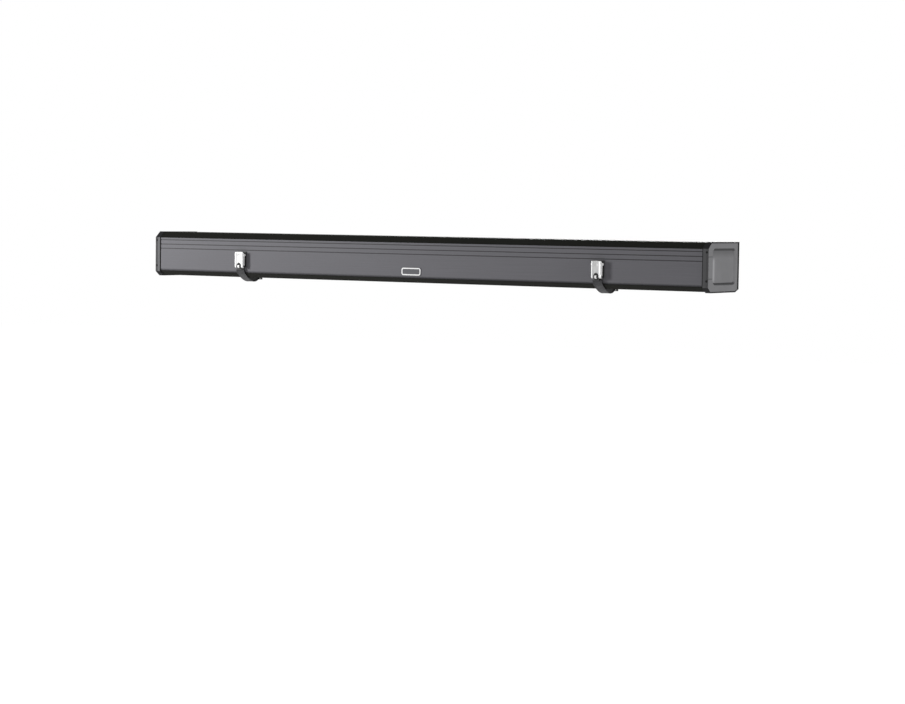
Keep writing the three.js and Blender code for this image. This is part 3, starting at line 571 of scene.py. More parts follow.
def cap_glint(tree):
    """A painted highlight, pale along the front of a cap's recess."""
    place, inset = cap_place(tree)
    depths = [fade(tree, place["Y"], FRONT, span) for span in CAP_GLINT_DEPTHS]
    heights = [fade(tree, place["Z"], BOTTOM, span) for span in CAP_GLINT_HEIGHTS]
    return chain(tree, "MULTIPLY", fade(tree, inset, 0, CAP_GLINT_INSETS), *depths, *heights)


def pressed(tree):
    """Painted shade, a little darker in the shallow field pressed into the latch levers."""
    facing, place = parts_of(tree, "Normal"), parts_of(tree, "Object")
    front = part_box("left_latch_lever")[0].y
    depths = [fade(tree, place["Y"], front, span) for span in FIELD_DEPTHS]
    return chain(tree, "MULTIPLY", ramp(tree, facing["Y"], *FIELD_FACING, 0, FIELD_DARK), *depths)


# Finishes
def new_material(name):
    material = bpy.data.materials.new(name)
    material.use_nodes = True
    FINISHES[name] = material
    return material.node_tree, material.node_tree.nodes["Principled BSDF"]


def tinted(colour, share):
    return tuple(c * share for c in colour)


def flecked(tree, value, colour, fleck):
    """A colour that a noise takes a share darker and lighter."""
    return mixed(tree, spread(tree, value, 0, 1), tinted(colour, 1 - fleck), tinted(colour, 1 + fleck))


def uneven(tree, value, middle, share):
    """A number that a noise takes a share lower and higher."""
    return spread(tree, value, middle * (1 - share), middle * (1 + share))


def metal(name, colour, roughness, metallic, grain, wear=None, fleck=0.12, gloss=0.5, shadow=None):
    """Extruded, brushed or coated metal: fine lines along one axis, faint blotches, worn edges and any
    painted shade.
    """
    tree, shader = new_material(name)
    fine = noise(tree, grain, detail=6)
    blotches = spread(tree, noise(tree, BLOTCHES, detail=3), 0, BLOTCH_STRENGTH)
    brushed = flecked(tree, fine, colour, fleck)
    final = mixed(tree, blotches, brushed, tinted(colour, BLOTCH_TINT_SHARE))
    if wear is not None:
        patchy = spread(tree, noise(tree, WEAR_PATCHES, detail=5), 0, WEAR_STRENGTH)
        final = mixed(tree, calc(tree, "MULTIPLY", edge_mask(tree), patchy), final, wear)
    # Painted shade, mixed towards black
    if shadow is not None:
        final = mixed(tree, shadow(tree), final, BLACK)
    link(tree, final, shader.inputs["Base Color"])
    link(tree, uneven(tree, fine, roughness, BRUSHED_UNEVEN_SHARE), shader.inputs["Roughness"])
    shader.inputs["Metallic"].default_value = metallic
    shader.inputs["Specular IOR Level"].default_value = gloss
    link(tree, bump(tree, fine, BRUSH_STRENGTH, BRUSH_DEPTH), shader.inputs["Normal"])


def moulded(name, colour, roughness, texture=1400, depth=0.12, gloss=0.25, shadow=None, glint=None):
    """Moulded plastic or rubber: an even fine grain with faint clouding, and any painted highlight and
    painted shade.
    """
    tree, shader = new_material(name)
    fine = noise(tree, (texture, texture, texture), detail=2)
    cloud = noise(tree, MOULD_CLOUDS, detail=4)
    speckle = spread(tree, fine, 0, GRAIN_SPECKLE)
    clouded = flecked(tree, cloud, colour, CLOUD_SHARE)
    final = mixed(tree, speckle, clouded, tinted(colour, GRAIN_TINT_SHARE))
    # Painted highlight, mixed towards a paler tint
    if glint is not None:
        final = mixed(tree, glint(tree), final, tinted(colour, GLINT_TINT_SHARE))
    # Painted shade, mixed towards a near black
    if shadow is not None:
        final = mixed(tree, shadow(tree), final, PAINTED_SHADE_COLOUR)
    link(tree, final, shader.inputs["Base Color"])
    link(tree, uneven(tree, cloud, roughness, MOULD_UNEVEN_SHARE), shader.inputs["Roughness"])
    shader.inputs["Specular IOR Level"].default_value = gloss
    link(tree, bump(tree, fine, GRAIN_STRENGTH, depth), shader.inputs["Normal"])


def woven(name, colour, thread, roughness, sheen, ripstop=None):
    """Cloth with warp and weft along the map's axes, and a heavier thread at each ripstop step."""
    tree, shader = new_material(name)
    height = calc(tree, "MULTIPLY", *[waves(tree, axis, thread) for axis in WEAVE_AXES])
    base = flecked(tree, noise(tree, CLOTH_CLOUDS, detail=5), colour, CLOUD_SHARE)
    final = mixed(tree, height, tinted(colour, THREAD_GAP_TINT_SHARE), base)
    if ripstop is not None:
        lines = [ramp(tree, waves(tree, axis, ripstop), *RIPSTOP_CREST) for axis in WEAVE_AXES]
        crossed = calc(tree, "MAXIMUM", *lines)
        final = mixed(tree, crossed, final, tinted(colour, RIPSTOP_TINT_SHARE))
        height = calc(tree, "ADD", height, crossed)
    link(tree, final, shader.inputs["Base Color"])
    shader.inputs["Roughness"].default_value = roughness
    shader.inputs["Sheen Weight"].default_value = sheen
    link(tree, bump(tree, height, THREAD_STRENGTH, thread * THREAD_DEPTH_SHARE), shader.inputs["Normal"])


def make_finishes():
    metal("black_case", (0.0065, 0.0068, 0.0052), 0.6, 0, ALONG, wear=(0.02, 0.02, 0.019), gloss=0.04)
    metal("rail_panel", (0.109, 0.107, 0.118), 0.6, 0, ALONG, wear=(0.17, 0.17, 0.18), gloss=0.2, shadow=painted_groove_shade)
    metal("stainless", (0.62, 0.62, 0.62), 0.48, 0.35, (200, 900, 60), fleck=0.06, shadow=pressed)
    metal("dark_steel", (0.02, 0.02, 0.021), 0.5, 0.2, (500, 500, 500), wear=(0.2, 0.19, 0.18))
    metal("arm_aluminium", (0.24, 0.245, 0.255), 0.5, 0.4, ALONG, wear=(0.4, 0.4, 0.4))
    metal("badge", (0.09, 0.09, 0.098), 0.5, 0, ALONG, gloss=0.2)
    moulded("cap_moulding", (0.132, 0.132, 0.136), 0.6, gloss=0.04, shadow=cap_shadow, glint=cap_glint)
    moulded("black_plastic", (0.012, 0.012, 0.0125), 0.5)
    moulded("rubber", (0.009, 0.009, 0.009), 0.8, texture=700, depth=0.2, gloss=0.15)
    moulded("thread", (0.035, 0.035, 0.038), 0.8)
    moulded("badge_rim", (0.86, 0.86, 0.86), 0.5)
    woven("canopy_fabric", (0.29, 0.265, 0.215), CANOPY_THREAD, 0.8, 0.3, ripstop=CANOPY_RIPSTOP)
    woven("webbing", (0.013, 0.013, 0.016), WEBBING_THREAD, 0.75, 0.08)


# CAD nodes that stay: soft edges, even shading and a finish
def soften(part, width, angle=SHARP_ANGLE):
    bevel = part.modifiers.new("soft_edges", "BEVEL")
    bevel.width = width * MM
    bevel.segments = 2
    bevel.limit_method = "ANGLE"
    bevel.angle_limit = math.radians(angle)
    bevel.use_clamp_overlap = True


def shade(part, angle=SHARP_ANGLE):
    mesh = part.data
    mesh.shade_smooth()
    mesh.set_sharp_from_angle(angle=math.radians(angle))


def dress_nodes():
    for subpart in frame["record"]["subparts"]:
        node = nodes[subpart["node"]]
        node.data.materials.clear()
        node.data.materials.append(FINISHES[subpart["material_slot"]])
        shade(node)
        for ending, width in EDGE_WIDTHS.items():
            if subpart["node"].endswith(ending):
                merge = node.modifiers.new("flat_faces", "DECIMATE")
                merge.decimate_type = "DISSOLVE"
                merge.angle_limit = math.radians(FLAT_ANGLE)
                soften(node, width)


# Places and boxes
def at(x, y, z):
    """A point in millimetres, y back from the front face and z up from the bottom of the case."""
    return Vector((x * MM, FRONT + y * MM, BOTTOM + z * MM))


def linkage_at(x, y, z):
    """A point of the tilted plane that the arms swing in."""
    tilt = math.radians(ARM_TILT)
    back = y * math.cos(tilt) - z * math.sin(tilt)
    rise = y * math.sin(tilt) + z * math.cos(tilt)
    return at(x, ARM_PIVOT_DEPTH + back, ARM_PLANE_HEIGHT + rise)


def local_box(node):
    """A node's box at rest in the same millimetres, as (x0, x1), (y0, y1), (z0, z1)."""
    low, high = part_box(node)
    starts = (0, FRONT, BOTTOM)
    return tuple(((a - start) / MM, (b - start) / MM) for a, b, start in zip(low, high, starts))


def round_box(node):
    """The same for a node that is round about x: its ends, its axis's depth and height, and its radius."""
    ends, (y0, y1), (z0, z1) = local_box(node)
    return ends, (y0 + y1) / 2, (z0 + z1) / 2, (y1 - y0) / 2


def drawn_in(span, by):
    return span[0] + by, span[1] - by


def lever_box(side):
    """A latch lever's middle and half width, and its front, back, bottom and top."""
    (x0, x1), (front, back), (bottom, top) = local_box(f"{side}_latch_lever")
    return (x0 + x1) / 2, (x1 - x0) / 2, front, back, bottom, top


# Mesh building: each builder fills an empty bmesh, which comes last in its call
def piece(name, build, finish, body, replaced=(), smooth=SHARP_ANGLE, edge=None):
    """A new object from a bmesh builder, with its finish, its body and the nodes it stands for."""
    mesh = bpy.data.meshes.new(name)
    shape = bmesh.new()
    build(shape)
    bmesh.ops.recalc_face_normals(shape, faces=shape.faces)
    shape.to_mesh(mesh)
    shape.free()
    made = bpy.data.objects.new(name, mesh)
    scene.collection.objects.link(made)
    mesh.materials.append(FINISHES[finish])
    shade(made, smooth)
    if edge is not None:
        soften(made, edge, smooth)
    if replaced:
        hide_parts(*replaced)
    if body is not None:
        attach(made, body)
    return made


def thicken(part, name, width, offset):
    """A sheet's thickness, from its face or on both sides of it."""
    thick = part.modifiers.new(name, "SOLIDIFY")
    thick.thickness = width * MM
    thick.offset = offset


def skin(shape, rings, closed=True, capped=True, looped=False, uv=None):
    """Quads between rings of equal counts; the open ends get a face each where capped."""
    layers = [[shape.verts.new(point) for point in ring] for ring in rings]
    places = shape.loops.layers.uv.verify() if uv else None
    spans = [(index, index + 1) for index in range(len(layers) - 1)]
    if looped:
        spans.append((len(layers) - 1, 0))
    count = len(layers[0])
    for lower, upper in spans:
        for index in range(count if closed else count - 1):
            after = (index + 1) % count
            corners = ((lower, index), (lower, after), (upper, after), (upper, index))
            face = shape.faces.new([layers[row][column] for row, column in corners])
            if uv:
                for loop, (row, column) in zip(face.loops, corners):
                    loop[places].uv = uv[row][column]
    if capped and not looped:
        shape.faces.new(list(reversed(layers[0])))
        shape.faces.new(layers[-1])


def circle(radius, count):
    turn = 2 * math.pi / count
    return [(radius * math.cos(k * turn), radius * math.sin(k * turn)) for k in range(count)]


def turned_x(shape, profile, y, z, count=48, looped=False):
    """A turned form about a line along x: the profile gives x and radius."""
    skin(shape, [[at(x, y + a, z + b) for a, b in circle(r, count)] for x, r in profile], looped=looped)


def headings(points, looped=False):
    """The direction of a line at each of its points."""
    count = len(points)
    if looped:
        pairs = [(k - 1, (k + 1) % count) for k in range(count)]
    else:
        pairs = [(max(k - 1, 0), min(k + 1, count - 1)) for k in range(count)]
    return [(points[after] - points[before]).normalized() for before, after in pairs]


def wire(shape, points, radius, count=12, looped=False):
    """A round wire along points, with its sides carried smoothly from one to the next."""
    rings = []
    side = None
    for point, along in zip(points, headings(points, looped)):
        side = along.orthogonal() if side is None else side - along * side.dot(along)
        side.normalize()
        up = along.cross(side)
        rings.append([point + side * a + up * b for a, b in circle(radius * MM, count)])
    skin(shape, rings, looped=looped)


def curved(points, steps):
    """A smooth line through points, with a number of steps from each to the next."""
    ends = [2 * Vector(points[0]) - Vector(points[1]), 2 * Vector(points[-1]) - Vector(points[-2])]
    held = [ends[0], *map(Vector, points), ends[1]]
    line = []
    for a, b, c, d in zip(held, held[1:], held[2:], held[3:]):
        for step in range(steps):
            t = step / steps
            line.append(0.5 * (2 * b + (c - a) * t + (2 * a - 5 * b + 4 * c - d) * t * t
                               + (3 * b - a - 3 * c + d) * t ** 3))
    line.append(held[-2])
    return line


def rounded(u, v, corner, steps=8):
    """Corner points of a rectangle over the spans u and v, with round corners."""
    (u0, u1), (v0, v1) = drawn_in(u, corner), drawn_in(v, corner)
    points = []
    for quarter, (cu, cv) in enumerate(((u1, v0), (u1, v1), (u0, v1), (u0, v0))):
        for step in range(steps + 1):
            angle = math.radians(90 * (quarter - 1 + step / steps))
            points.append((cu + corner * math.cos(angle), cv + corner * math.sin(angle)))
    return points


# Straps: woven ribbons with rolled selvedges and rows of stitches
def strap_frame(side):
    """The strap's middle, its route's points, their outward normals and the distance along it."""
    (x0, x1), _, _ = local_box(f"{side}_strap")
    line = curved(STRAP_ROUTE, STRAP_STEPS)
    normals = [Vector((along.y, -along.x)) for along in headings(line)]
    lengths = [0.0]
    for before, point in zip(line, line[1:]):
        lengths.append(lengths[-1] + (point - before).length)
    return (x0 + x1) / 2, line, normals, lengths


def strap_section(half):
    """The webbing's outline: selvedges rolled at both edges and low ribs between them."""
    edge = [(-half + u * SELVEDGE, lift) for u, lift in SELVEDGE_SHARES]
    rib = (half - SELVEDGE) / STRAP_RIBS
    ribs = [(k * rib, STRAP_RIB_SHARES[k % 2]) for k in range(1 - STRAP_RIBS, STRAP_RIBS)]
    upper = [*edge, *ribs, *[(-u, lift) for u, lift in reversed(edge)]]
    outline = upper + [(u, -lift) for u, lift in reversed(upper[1:-1])]
    return [(u, lift * STRAP_HALF_THICKNESS) for u, lift in outline]


def build_strap(side, shape):
    (x0, x1), _, _ = local_box(f"{side}_strap")
    section = strap_section((x1 - x0) / 2)
    x, line, normals, lengths = strap_frame(side)
    rings, uv = [], []
    for point, normal, length in zip(line, normals, lengths):
        rings.append([at(x + u, point.x + normal.x * n, point.y + normal.y * n) for u, n in section])
        uv.append([(u * MM, length * MM) for u, _ in section])
    skin(shape, rings, uv=uv)


def build_stitches(side, shape):
    """Short raised threads: a row along each edge, and rows across."""
    x, line, normals, lengths = strap_frame(side)
    runs = [STITCH_LENGTH * k / 2 for k in range(3)]

    def spot(u, length):
        index = next(k for k, total in enumerate(lengths) if total >= length)
        before = max(index - 1, 0)
        share = (length - lengths[before]) / (lengths[index] - lengths[before]) if index else 0
        point = line[before].lerp(line[index], share)
        lift = normals[index] * STITCH_LIFT
        return at(x + u, point.x + lift.x, point.y + lift.y)

    for u in (-STITCH_ROW, STITCH_ROW):
        for step in range(int(lengths[-1] / STITCH_PITCH) - 1):
            start = (step + 0.5) * STITCH_PITCH
            wire(shape, [spot(u, start + run) for run in runs], STITCH_RADIUS, 6)
    for length in STITCH_CROSS_ROWS:
        for step in range(STITCH_CROSS_COUNT):
            start = STITCH_CROSS_START + step * STITCH_PITCH
            wire(shape, [spot(start + run, length) for run in runs], STITCH_RADIUS, 6)


def build_shade_filler(side, shape):
    """The saddle's outline follows the strap's inner face and closes under the case."""
    _, (rear, _), _ = local_box(f"{side}_strap_anchor")
    x, line, normals, _ = strap_frame(side)
    inner = [point - normal * FILLER_CLEARANCE for point, normal in zip(line, normals)]
    bight = [(p.x, p.y) for p in inner if p.y < FILLER_TOP - FILLER_MARGIN and p.x < rear - FILLER_MARGIN]
    outline = [(bight[0][0], FILLER_TOP), *bight, (bight[-1][0], FILLER_TOP)]
    skin(shape, [[at(x + u, y, z) for y, z in outline] for u in (-FILLER_HALF, FILLER_HALF)])


def make_straps():
    for side, _ in SIDES:
        # A dark saddle in each strap's loop stands in for the shade there
        piece(f"{side}_strap_shade_filler", partial(build_shade_filler, side), "black_plastic", "case", edge=FILLER_EDGE)
        anchor = at(strap_frame(side)[0], STRAP_ROUTE[0][0], 0)
        ribbon = piece(f"{side}_webbing_strap", partial(build_strap, side), "webbing", "rail",
                       [f"{side}_strap"])
        threads = piece(f"{side}_strap_stitches", partial(build_stitches, side), "thread", "rail")
        for part in (ribbon, threads):
            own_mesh(part)


# Latches: the lever is one pressed sheet, with beads along its edges and a notch for the wire loop
def lever_section(half, front, back):
    """The sheet's section, from one flange's back edge across the face to the other's."""
    edge = [(u * half, front + depth * LEVER_SHEET) for u, depth in LEVER_SECTION_SHARES]
    lip = edge[-1][1]
    for step in range(LEVER_FLANGE_STEPS):
        edge.append((half, lip + (back - lip) * (step + 1) / LEVER_FLANGE_STEPS))
    return [(-u, y) for u, y in reversed(edge[1:])] + edge


def build_lever(side, shape):
    """Rows from the notch to the top; the face bends back at both ends, where the flanges are cut."""
    x, half, front, back, bottom, top = lever_box(side)
    section = lever_section(half, front, back)
    rings = []
    for row in range(LEVER_ROWS + 1):
        ring = []
        for u, y in section:
            across = abs(u) / (LEVER_NOTCH_WIDTH / 2)
            arch = LEVER_NOTCH_HEIGHT * math.sqrt(1 - across ** 2) if across < 1 else 0
            z = bottom + arch + (top - bottom - arch) * row / LEVER_ROWS
            cut = max(0, z - (top - LEVER_TOP_TAPER)) * LEVER_TOP_SLOPE
            cut += max(0, bottom + LEVER_FOOT_TAPER - z) * LEVER_FOOT_SLOPE
            if y < front + LEVER_FACE_DEPTH:
                y += LEVER_TOP_BEND * max(0, 1 - (top - z) / LEVER_BEND) ** 2
                y += LEVER_FOOT_BEND * max(0, 1 - (z - bottom) / LEVER_BEND) ** 2
            y = min(y, max(back - cut, front + LEVER_LEAST_DEPTH))
            off = math.hypot(u, z - (top - LEVER_DIMPLE_DROP)) / LEVER_DIMPLE_RADIUS
            ring.append(at(x + u, y + LEVER_DIMPLE_DEPTH * math.exp(-off ** 2), z))
        rings.append(ring)
    skin(shape, rings, closed=False, capped=False)


def build_loop(side, shape):
    """The strap's wire loop: an arch in the notch, closed under the lever."""
    x, _, front, _, bottom, _ = lever_box(side)
    radius = LEVER_NOTCH_WIDTH / 2 - LOOP_SIDE_GAP - LOOP_WIRE
    crown = bottom + LEVER_NOTCH_HEIGHT - radius - LOOP_TOP_GAP
    points = []
    for step in range(LOOP_STEPS + 1):
        angle = math.pi * step / LOOP_STEPS
        points.append(at(x + radius * math.cos(angle), front + LOOP_DEPTH, crown + radius * math.sin(angle)))
    for sign, leg in ((-1, LOOP_LEG_ROUTE), (1, reversed(LOOP_LEG_ROUTE))):
        points += [at(x + sign * (radius - inward), front + y, bottom + z) for inward, y, z in leg]
    wire(shape, points, LOOP_WIRE, looped=True)


def build_hook(side, shape):
    """The bright hook inside the loop: a strip rolled over from the pin."""
    x, _, front, _, bottom, _ = lever_box(side)
    x0, x1 = [x + end for end in HOOK_SPAN]
    line = curved(HOOK_ROUTE, HOOK_STEPS)
    rings = []
    for point, along in zip(line, headings(line)):
        out = Vector((-along.y, along.x)) * HOOK_HALF_THICKNESS
        under, over = [(front + point.x + s * out.x, bottom + point.y + s * out.y) for s in (-1, 1)]
        rings.append([at(x0, *under), at(x1, *under), at(x1, *over), at(x0, *over)])
    skin(shape, rings)


def build_stop(side, shape):
    """The stop pin across the top of the lever, with a domed head at each end."""
    x, half, _, back, _, top = lever_box(side)
    y, z = back - STOP_DEPTH, top - STOP_DROP
    head = [(half - STOP_HEAD_SINK, STOP_HEAD_RADIUS)]
    head += [(half + u * STOP_HEAD_RISE, r * STOP_HEAD_RADIUS) for u, r in STOP_HEAD_SHARES]
    for sign in (-1, 1):
        turned_x(shape, [(x + sign * u, r) for u, r in head], y, z, 24)
    reach = half - STOP_END
    turned_x(shape, [(x - reach, STOP_RADIUS), (x + reach, STOP_RADIUS)], y, z, 16)


def make_latches():
    for side, _ in SIDES:
        body = f"{side}_lever"
        lever = piece(f"{side}_pressed_lever", partial(build_lever, side), "stainless", body,
                      [f"{side}_latch_lever"], smooth=LEVER_SMOOTH)
        thicken(lever, "sheet", LEVER_SHEET, -1)
        piece(f"{side}_lever_stop", partial(build_stop, side), "stainless", body)
        piece(f"{side}_strap_loop", partial(build_loop, side), "dark_steel", "rail")
        piece(f"{side}_strap_hook", partial(build_hook, side), "stainless", "rail", edge=HOOK_EDGE)


# Canopy: a wound roll, a sheet that runs to the hem bar, and the sleeve round the bar
def build_roll(shape):
    span, y, z, outer = round_box("fabric_roll")
    inner = round_box("roller_tube")[3]
    wound = outer - inner - CLOTH
    turns = wound / CLOTH_PITCH
    count = int(turns * ROLL_STEPS)
    (sway, rate), (drift, slow) = ROLL_WANDERS
    rings, uv, length = [], [], 0.0
    for step in range(count + 1):
        share = step / count
        radius = inner + CLOTH / 2 + ROLL_GAP + (wound - ROLL_GAP) * share
        angle = 2 * math.pi * turns * (share - 1)
        wander = sway * math.sin(rate * angle) + drift * math.sin(slow * share * turns)
        back, rise = y - radius * math.sin(angle), z + radius * math.cos(angle)
        rings.append([at(x + wander, back, rise) for x in drawn_in(span, ROLL_INSET)])
        length += radius * 2 * math.pi * turns / count * MM
        uv.append([(x * MM, length) for x in span])
    skin(shape, rings, closed=False, capped=False, uv=uv)


def strip_route():
    """The canopy's line from the hem bar to the top of the roll, and on round the roll's top."""
    _, y, z, radius = round_box("fabric_roll")
    _, (_, bar_back), (bar_low, bar_high) = local_box("hem_bar")
    radius += CLOTH
    front, height = bar_back + STRIP_GAP, (bar_low + bar_high) / 2 + CLOTH
    run, rise = y - front, z - height
    slope = math.atan2(rise, run) + math.asin(radius / math.hypot(run, rise))
    touch = (y - radius * math.sin(slope), z + radius * math.cos(slope))
    shares = [k / STRIP_STEPS for k in range(STRIP_STEPS + 1)]
    straight = [(front + (touch[0] - front) * s, height + (touch[1] - height) * s) for s in shares]
    turn = slope + STRIP_WRAP / radius
    angles = [slope - turn * (k + 1) / STRIP_WRAP_STEPS for k in range(STRIP_WRAP_STEPS)]
    return straight + [(y - radius * math.sin(a), z + radius * math.cos(a)) for a in angles]


def strip_columns():
    """Places across the canopy with their lift: hems down both sides and flat seams."""
    (x0, x1), _, _ = local_box("canopy_strip")
    left, right = drawn_in((x0, x1), CLOTH_HEM)
    columns = [(x0, SEAM_LIFT), (left, SEAM_LIFT), (left + SEAM_STEP, 0)]
    for seam in CANOPY_SEAMS:
        start, end = seam - SEAM_HALF, seam + SEAM_HALF
        columns += [(start - SEAM_STEP, 0), (start, SEAM_LIFT), (end, SEAM_LIFT), (end + SEAM_STEP, 0)]
    columns += [(right - SEAM_STEP, 0), (right, SEAM_LIFT), (x1, SEAM_LIFT)]
    filled = [columns[0]]
    for x, lift in columns[1:]:
        while x - filled[-1][0] > COLUMN_PITCH:
            filled.append((filled[-1][0] + COLUMN_PITCH, 0))
        filled.append((x, lift))
    return filled


def build_strip(shape):
    """The canopy's sheet, with its map drawn out as far as the cloth is at full reach."""
    route, columns = strip_route(), strip_columns()
    travel = frame["record"]["behaviour"]["joints"]
    reach = next(max(j["range_m"]) for j in travel if j["name"] == "canopy_hem")
    start, end = route[STRIP_STEPS][0], route[0][0]
    rings, uv = [], []
    for y, z in route:
        t = min(1, max(0, (start - y) / (start - end)))
        out = reach * t * t * (3 - 2 * t) + (start - y) * MM
        rings.append([at(x, y, z + lift) for x, lift in columns])
        uv.append([(x * MM, out) for x, _ in columns])
    skin(shape, rings, closed=False, capped=False, uv=uv)


def build_sleeve(shape):
    """Cloth wrapped round the hem bar, open where the canopy leaves it."""
    span, y, z, radius = round_box("hem_bar")
    inner = radius + SLEEVE_GAP
    section = []
    for r, degrees in ((inner + CLOTH, SLEEVE_ANGLES), (inner, reversed(SLEEVE_ANGLES))):
        section += [(r * math.cos(a), r * math.sin(a)) for a in map(math.radians, degrees)]
    skin(shape, [[at(x, y + a, z + b) for a, b in section] for x in drawn_in(span, SLEEVE_INSET)])


def build_hem_rod(shape):
    (x0, x1), y, z, radius = round_box("hem_bar")
    profile = [(x0, radius - ROD_CHAMFER), (x0 + ROD_CHAMFER, radius),
               (x1 - ROD_CHAMFER, radius), (x1, radius - ROD_CHAMFER)]
    turned_x(shape, profile, y, z, 24)


def build_roller_tube(shape):
    """The roller, with a rolled keyway that holds the canopy's edge."""
    (x0, x1), y, z, outer = round_box("roller_tube")

    def outline(inset):
        points = []
        for k in range(ROLLER_STEPS):
            angle = 2 * math.pi * k / ROLLER_STEPS
            off = math.remainder(angle - KEYWAY_ANGLE, 2 * math.pi) * outer
            r = outer - inset - (KEYWAY_DEPTH if abs(off) < KEYWAY_HALF else 0)
            points.append((y + r * math.cos(angle), z + r * math.sin(angle)))
        return points

    outside, inside = outline(0), outline(ROLLER_WALL)
    rings = ((x0, outside), (x1, outside), (x1, inside), (x0, inside))
    skin(shape, [[at(x, *spot) for spot in section] for x, section in rings], looped=True)


def make_canopy():
    roll = piece("wound_canopy", build_roll, "canopy_fabric", "roller", ["fabric_roll"],
                 smooth=CLOTH_SMOOTH)
    strip = piece("canopy_sheet", build_strip, "canopy_fabric", None, ["canopy_strip"],
                  smooth=CLOTH_SMOOTH)
    for part in (roll, strip):
        thicken(part, "cloth", CLOTH, 0)
    route = strip_route()
    tuple(at(0, *route[STRIP_STEPS]))
    tuple(at(0, *route[0]))
    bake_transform(strip)
    sleeve = piece("hem_sleeve", build_sleeve, "canopy_fabric", "hem", smooth=CLOTH_SMOOTH)
    piece("hem_rod", build_hem_rod, "black_plastic", "hem", ["hem_bar"])
    piece("roller_core", build_roller_tube, "arm_aluminium", "roller", ["roller_tube"])
    (x0, x1), _, _ = local_box("canopy_strip")
    lengths = [(Vector(b) - Vector(a)).length for a, b in zip(route, route[1:])]


# Arms: grooved bars between cast knuckles
def bar_section(z0, z1):
    """An extrusion's outline: round corners and two grooves down each side."""
    cut = BAR_CORNER * BAR_CORNER_SHARE
    corner = ((BAR_CORNER, 0), (cut, cut), (0, BAR_CORNER))
    floor = ARM_HALF - BAR_GROOVE_DEPTH
    right = [(ARM_HALF - inward, z0 + up) for inward, up in corner]
    for share in BAR_GROOVE_SHARES:
        z = z0 + (z1 - z0) * share
        right += [(ARM_HALF, z - BAR_GROOVE_MOUTH), (floor, z - BAR_GROOVE_FLOOR),
                  (floor, z + BAR_GROOVE_FLOOR), (ARM_HALF, z + BAR_GROOVE_MOUTH)]
    right += [(ARM_HALF - inward, z1 - down) for inward, down in reversed(corner)]
    return right + [(-y, z) for y, z in reversed(right)]


def build_bar(x0, x1, z0, z1, shape):
    skin(shape, [[linkage_at(x, y, z) for y, z in bar_section(z0, z1)] for x in (x0, x1)])


def knuckle_outline(x, toward, grown):
    """The round end about a pivot and the sleeve round the bar, grown outwards all round."""
    radius, half = KNUCKLE_RADIUS + grown, ARM_HALF + KNUCKLE_WALL + grown
    turns = map(math.radians, KNUCKLE_ANGLES)
    points = [(x - toward * radius * math.cos(a), radius * math.sin(a)) for a in turns]
    neck = x + toward * KNUCKLE_RADIUS * KNUCKLE_NECK_SHARE
    reach = x + toward * (KNUCKLE_LENGTH + grown)
    cut_along, cut_across = KNUCKLE_CORNER
    upper = [(neck, half), (reach - toward * cut_along, half), (reach, half - cut_across)]
    return points + upper + [(u, -v) for u, v in reversed(upper)]


def build_knuckle(x, toward, z0, z1, boss_low, shape):
    """A cast end with chamfered edges, and a boss that reaches down to the forearm where there is one."""
    rows = [(z0, -KNUCKLE_CHAMFER), (z0 + KNUCKLE_CHAMFER, 0), (z1 - KNUCKLE_CHAMFER, 0),
            (z1, -KNUCKLE_CHAMFER)]
    skin(shape, [[linkage_at(*spot, z) for spot in knuckle_outline(x, toward, grown)] for z, grown in rows])
    if boss_low is not None:
        rows = [(boss_low, -BOSS_CHAMFER), (boss_low + BOSS_CHAMFER, 0), (z0 + BOSS_OVERLAP, 0)]
        skin(shape, [[linkage_at(x + a, b, z) for a, b in circle(KNUCKLE_RADIUS + grown, 36)]
                     for z, grown in rows])


def make_arms():
    boss = FOREARM_SPAN[1] + ARM_GAP
    for side, sign in SIDES:
        shoulder, elbow, inset = sign * SHOULDER_REACH, sign * ELBOW_REACH, sign * BAR_INSET
        for name, body, (z0, z1), node, low in (
            ("forearm", f"{side}_fore", FOREARM_SPAN, f"{side}_forearm", None),
            ("upper", f"{side}_upper", UPPER_ARM_SPAN, f"{side}_upper_arm", boss),
        ):
            bar = partial(build_bar, shoulder - inset, elbow + inset, z0 + BAR_SHY, z1 - BAR_SHY)
            piece(f"{side}_{name}_bar", bar, "arm_aluminium", body, [node])
            for end, knuckle in (
                ("outer", partial(build_knuckle, shoulder, -sign, z0, z1, None)),
                ("elbow", partial(build_knuckle, elbow, sign, z0, z1, low)),
            ):
                piece(f"{side}_{name}_{end}_knuckle", knuckle, "black_case", body, edge=KNUCKLE_EDGE)


# Legs: drawn tubes, a ribbed collar and a treaded foot
def build_collar(side, shape):
    (x0, x1), y, z, outer = round_box(f"{side}_lock_collar")
    lip = [(u * COLLAR_LIP, outer - drop * COLLAR_DROP, rib * COLLAR_RIB_DEPTH)
           for u, drop, rib in COLLAR_LIP_SHARES]
    profile = [(x0 + u, r, depth) for u, r, depth in lip]
    profile += [(x1 - u, r, depth) for u, r, depth in reversed(lip)]
    profile += [(x1, COLLAR_BORE, 0), (x0, COLLAR_BORE, 0)]
    rings = []
    for x, radius, depth in profile:
        ring = []
        for k in range(COLLAR_STEPS):
            a = 2 * math.pi * k / COLLAR_STEPS
            r = radius - depth * (1 + math.cos(COLLAR_RIBS * a)) / 2
            ring.append(at(x, y + r * math.cos(a), z + r * math.sin(a)))
        rings.append(ring)
    skin(shape, rings, looped=True)


def build_foot(side, shape):
    """A plug inside the leg, a flared neck and a tread with three round grooves."""
    (x0, x1), y, z, outer = round_box(f"{side}_leg_foot")
    tip, root = (x1, x0) if abs(x1) < abs(x0) else (x0, x1)
    inward = TREAD_DEPTH if tip < root else -TREAD_DEPTH
    profile = [(root + (tip - root) * u, outer * r) for u, r in FOOT_SHARES]
    for tread in range(1, TREAD_COUNT + 1):
        for u, depth in TREAD_SHARES:
            profile.append((tip + inward * depth, outer - (tread + u) * TREAD_PITCH))
    turned_x(shape, profile, y, z)


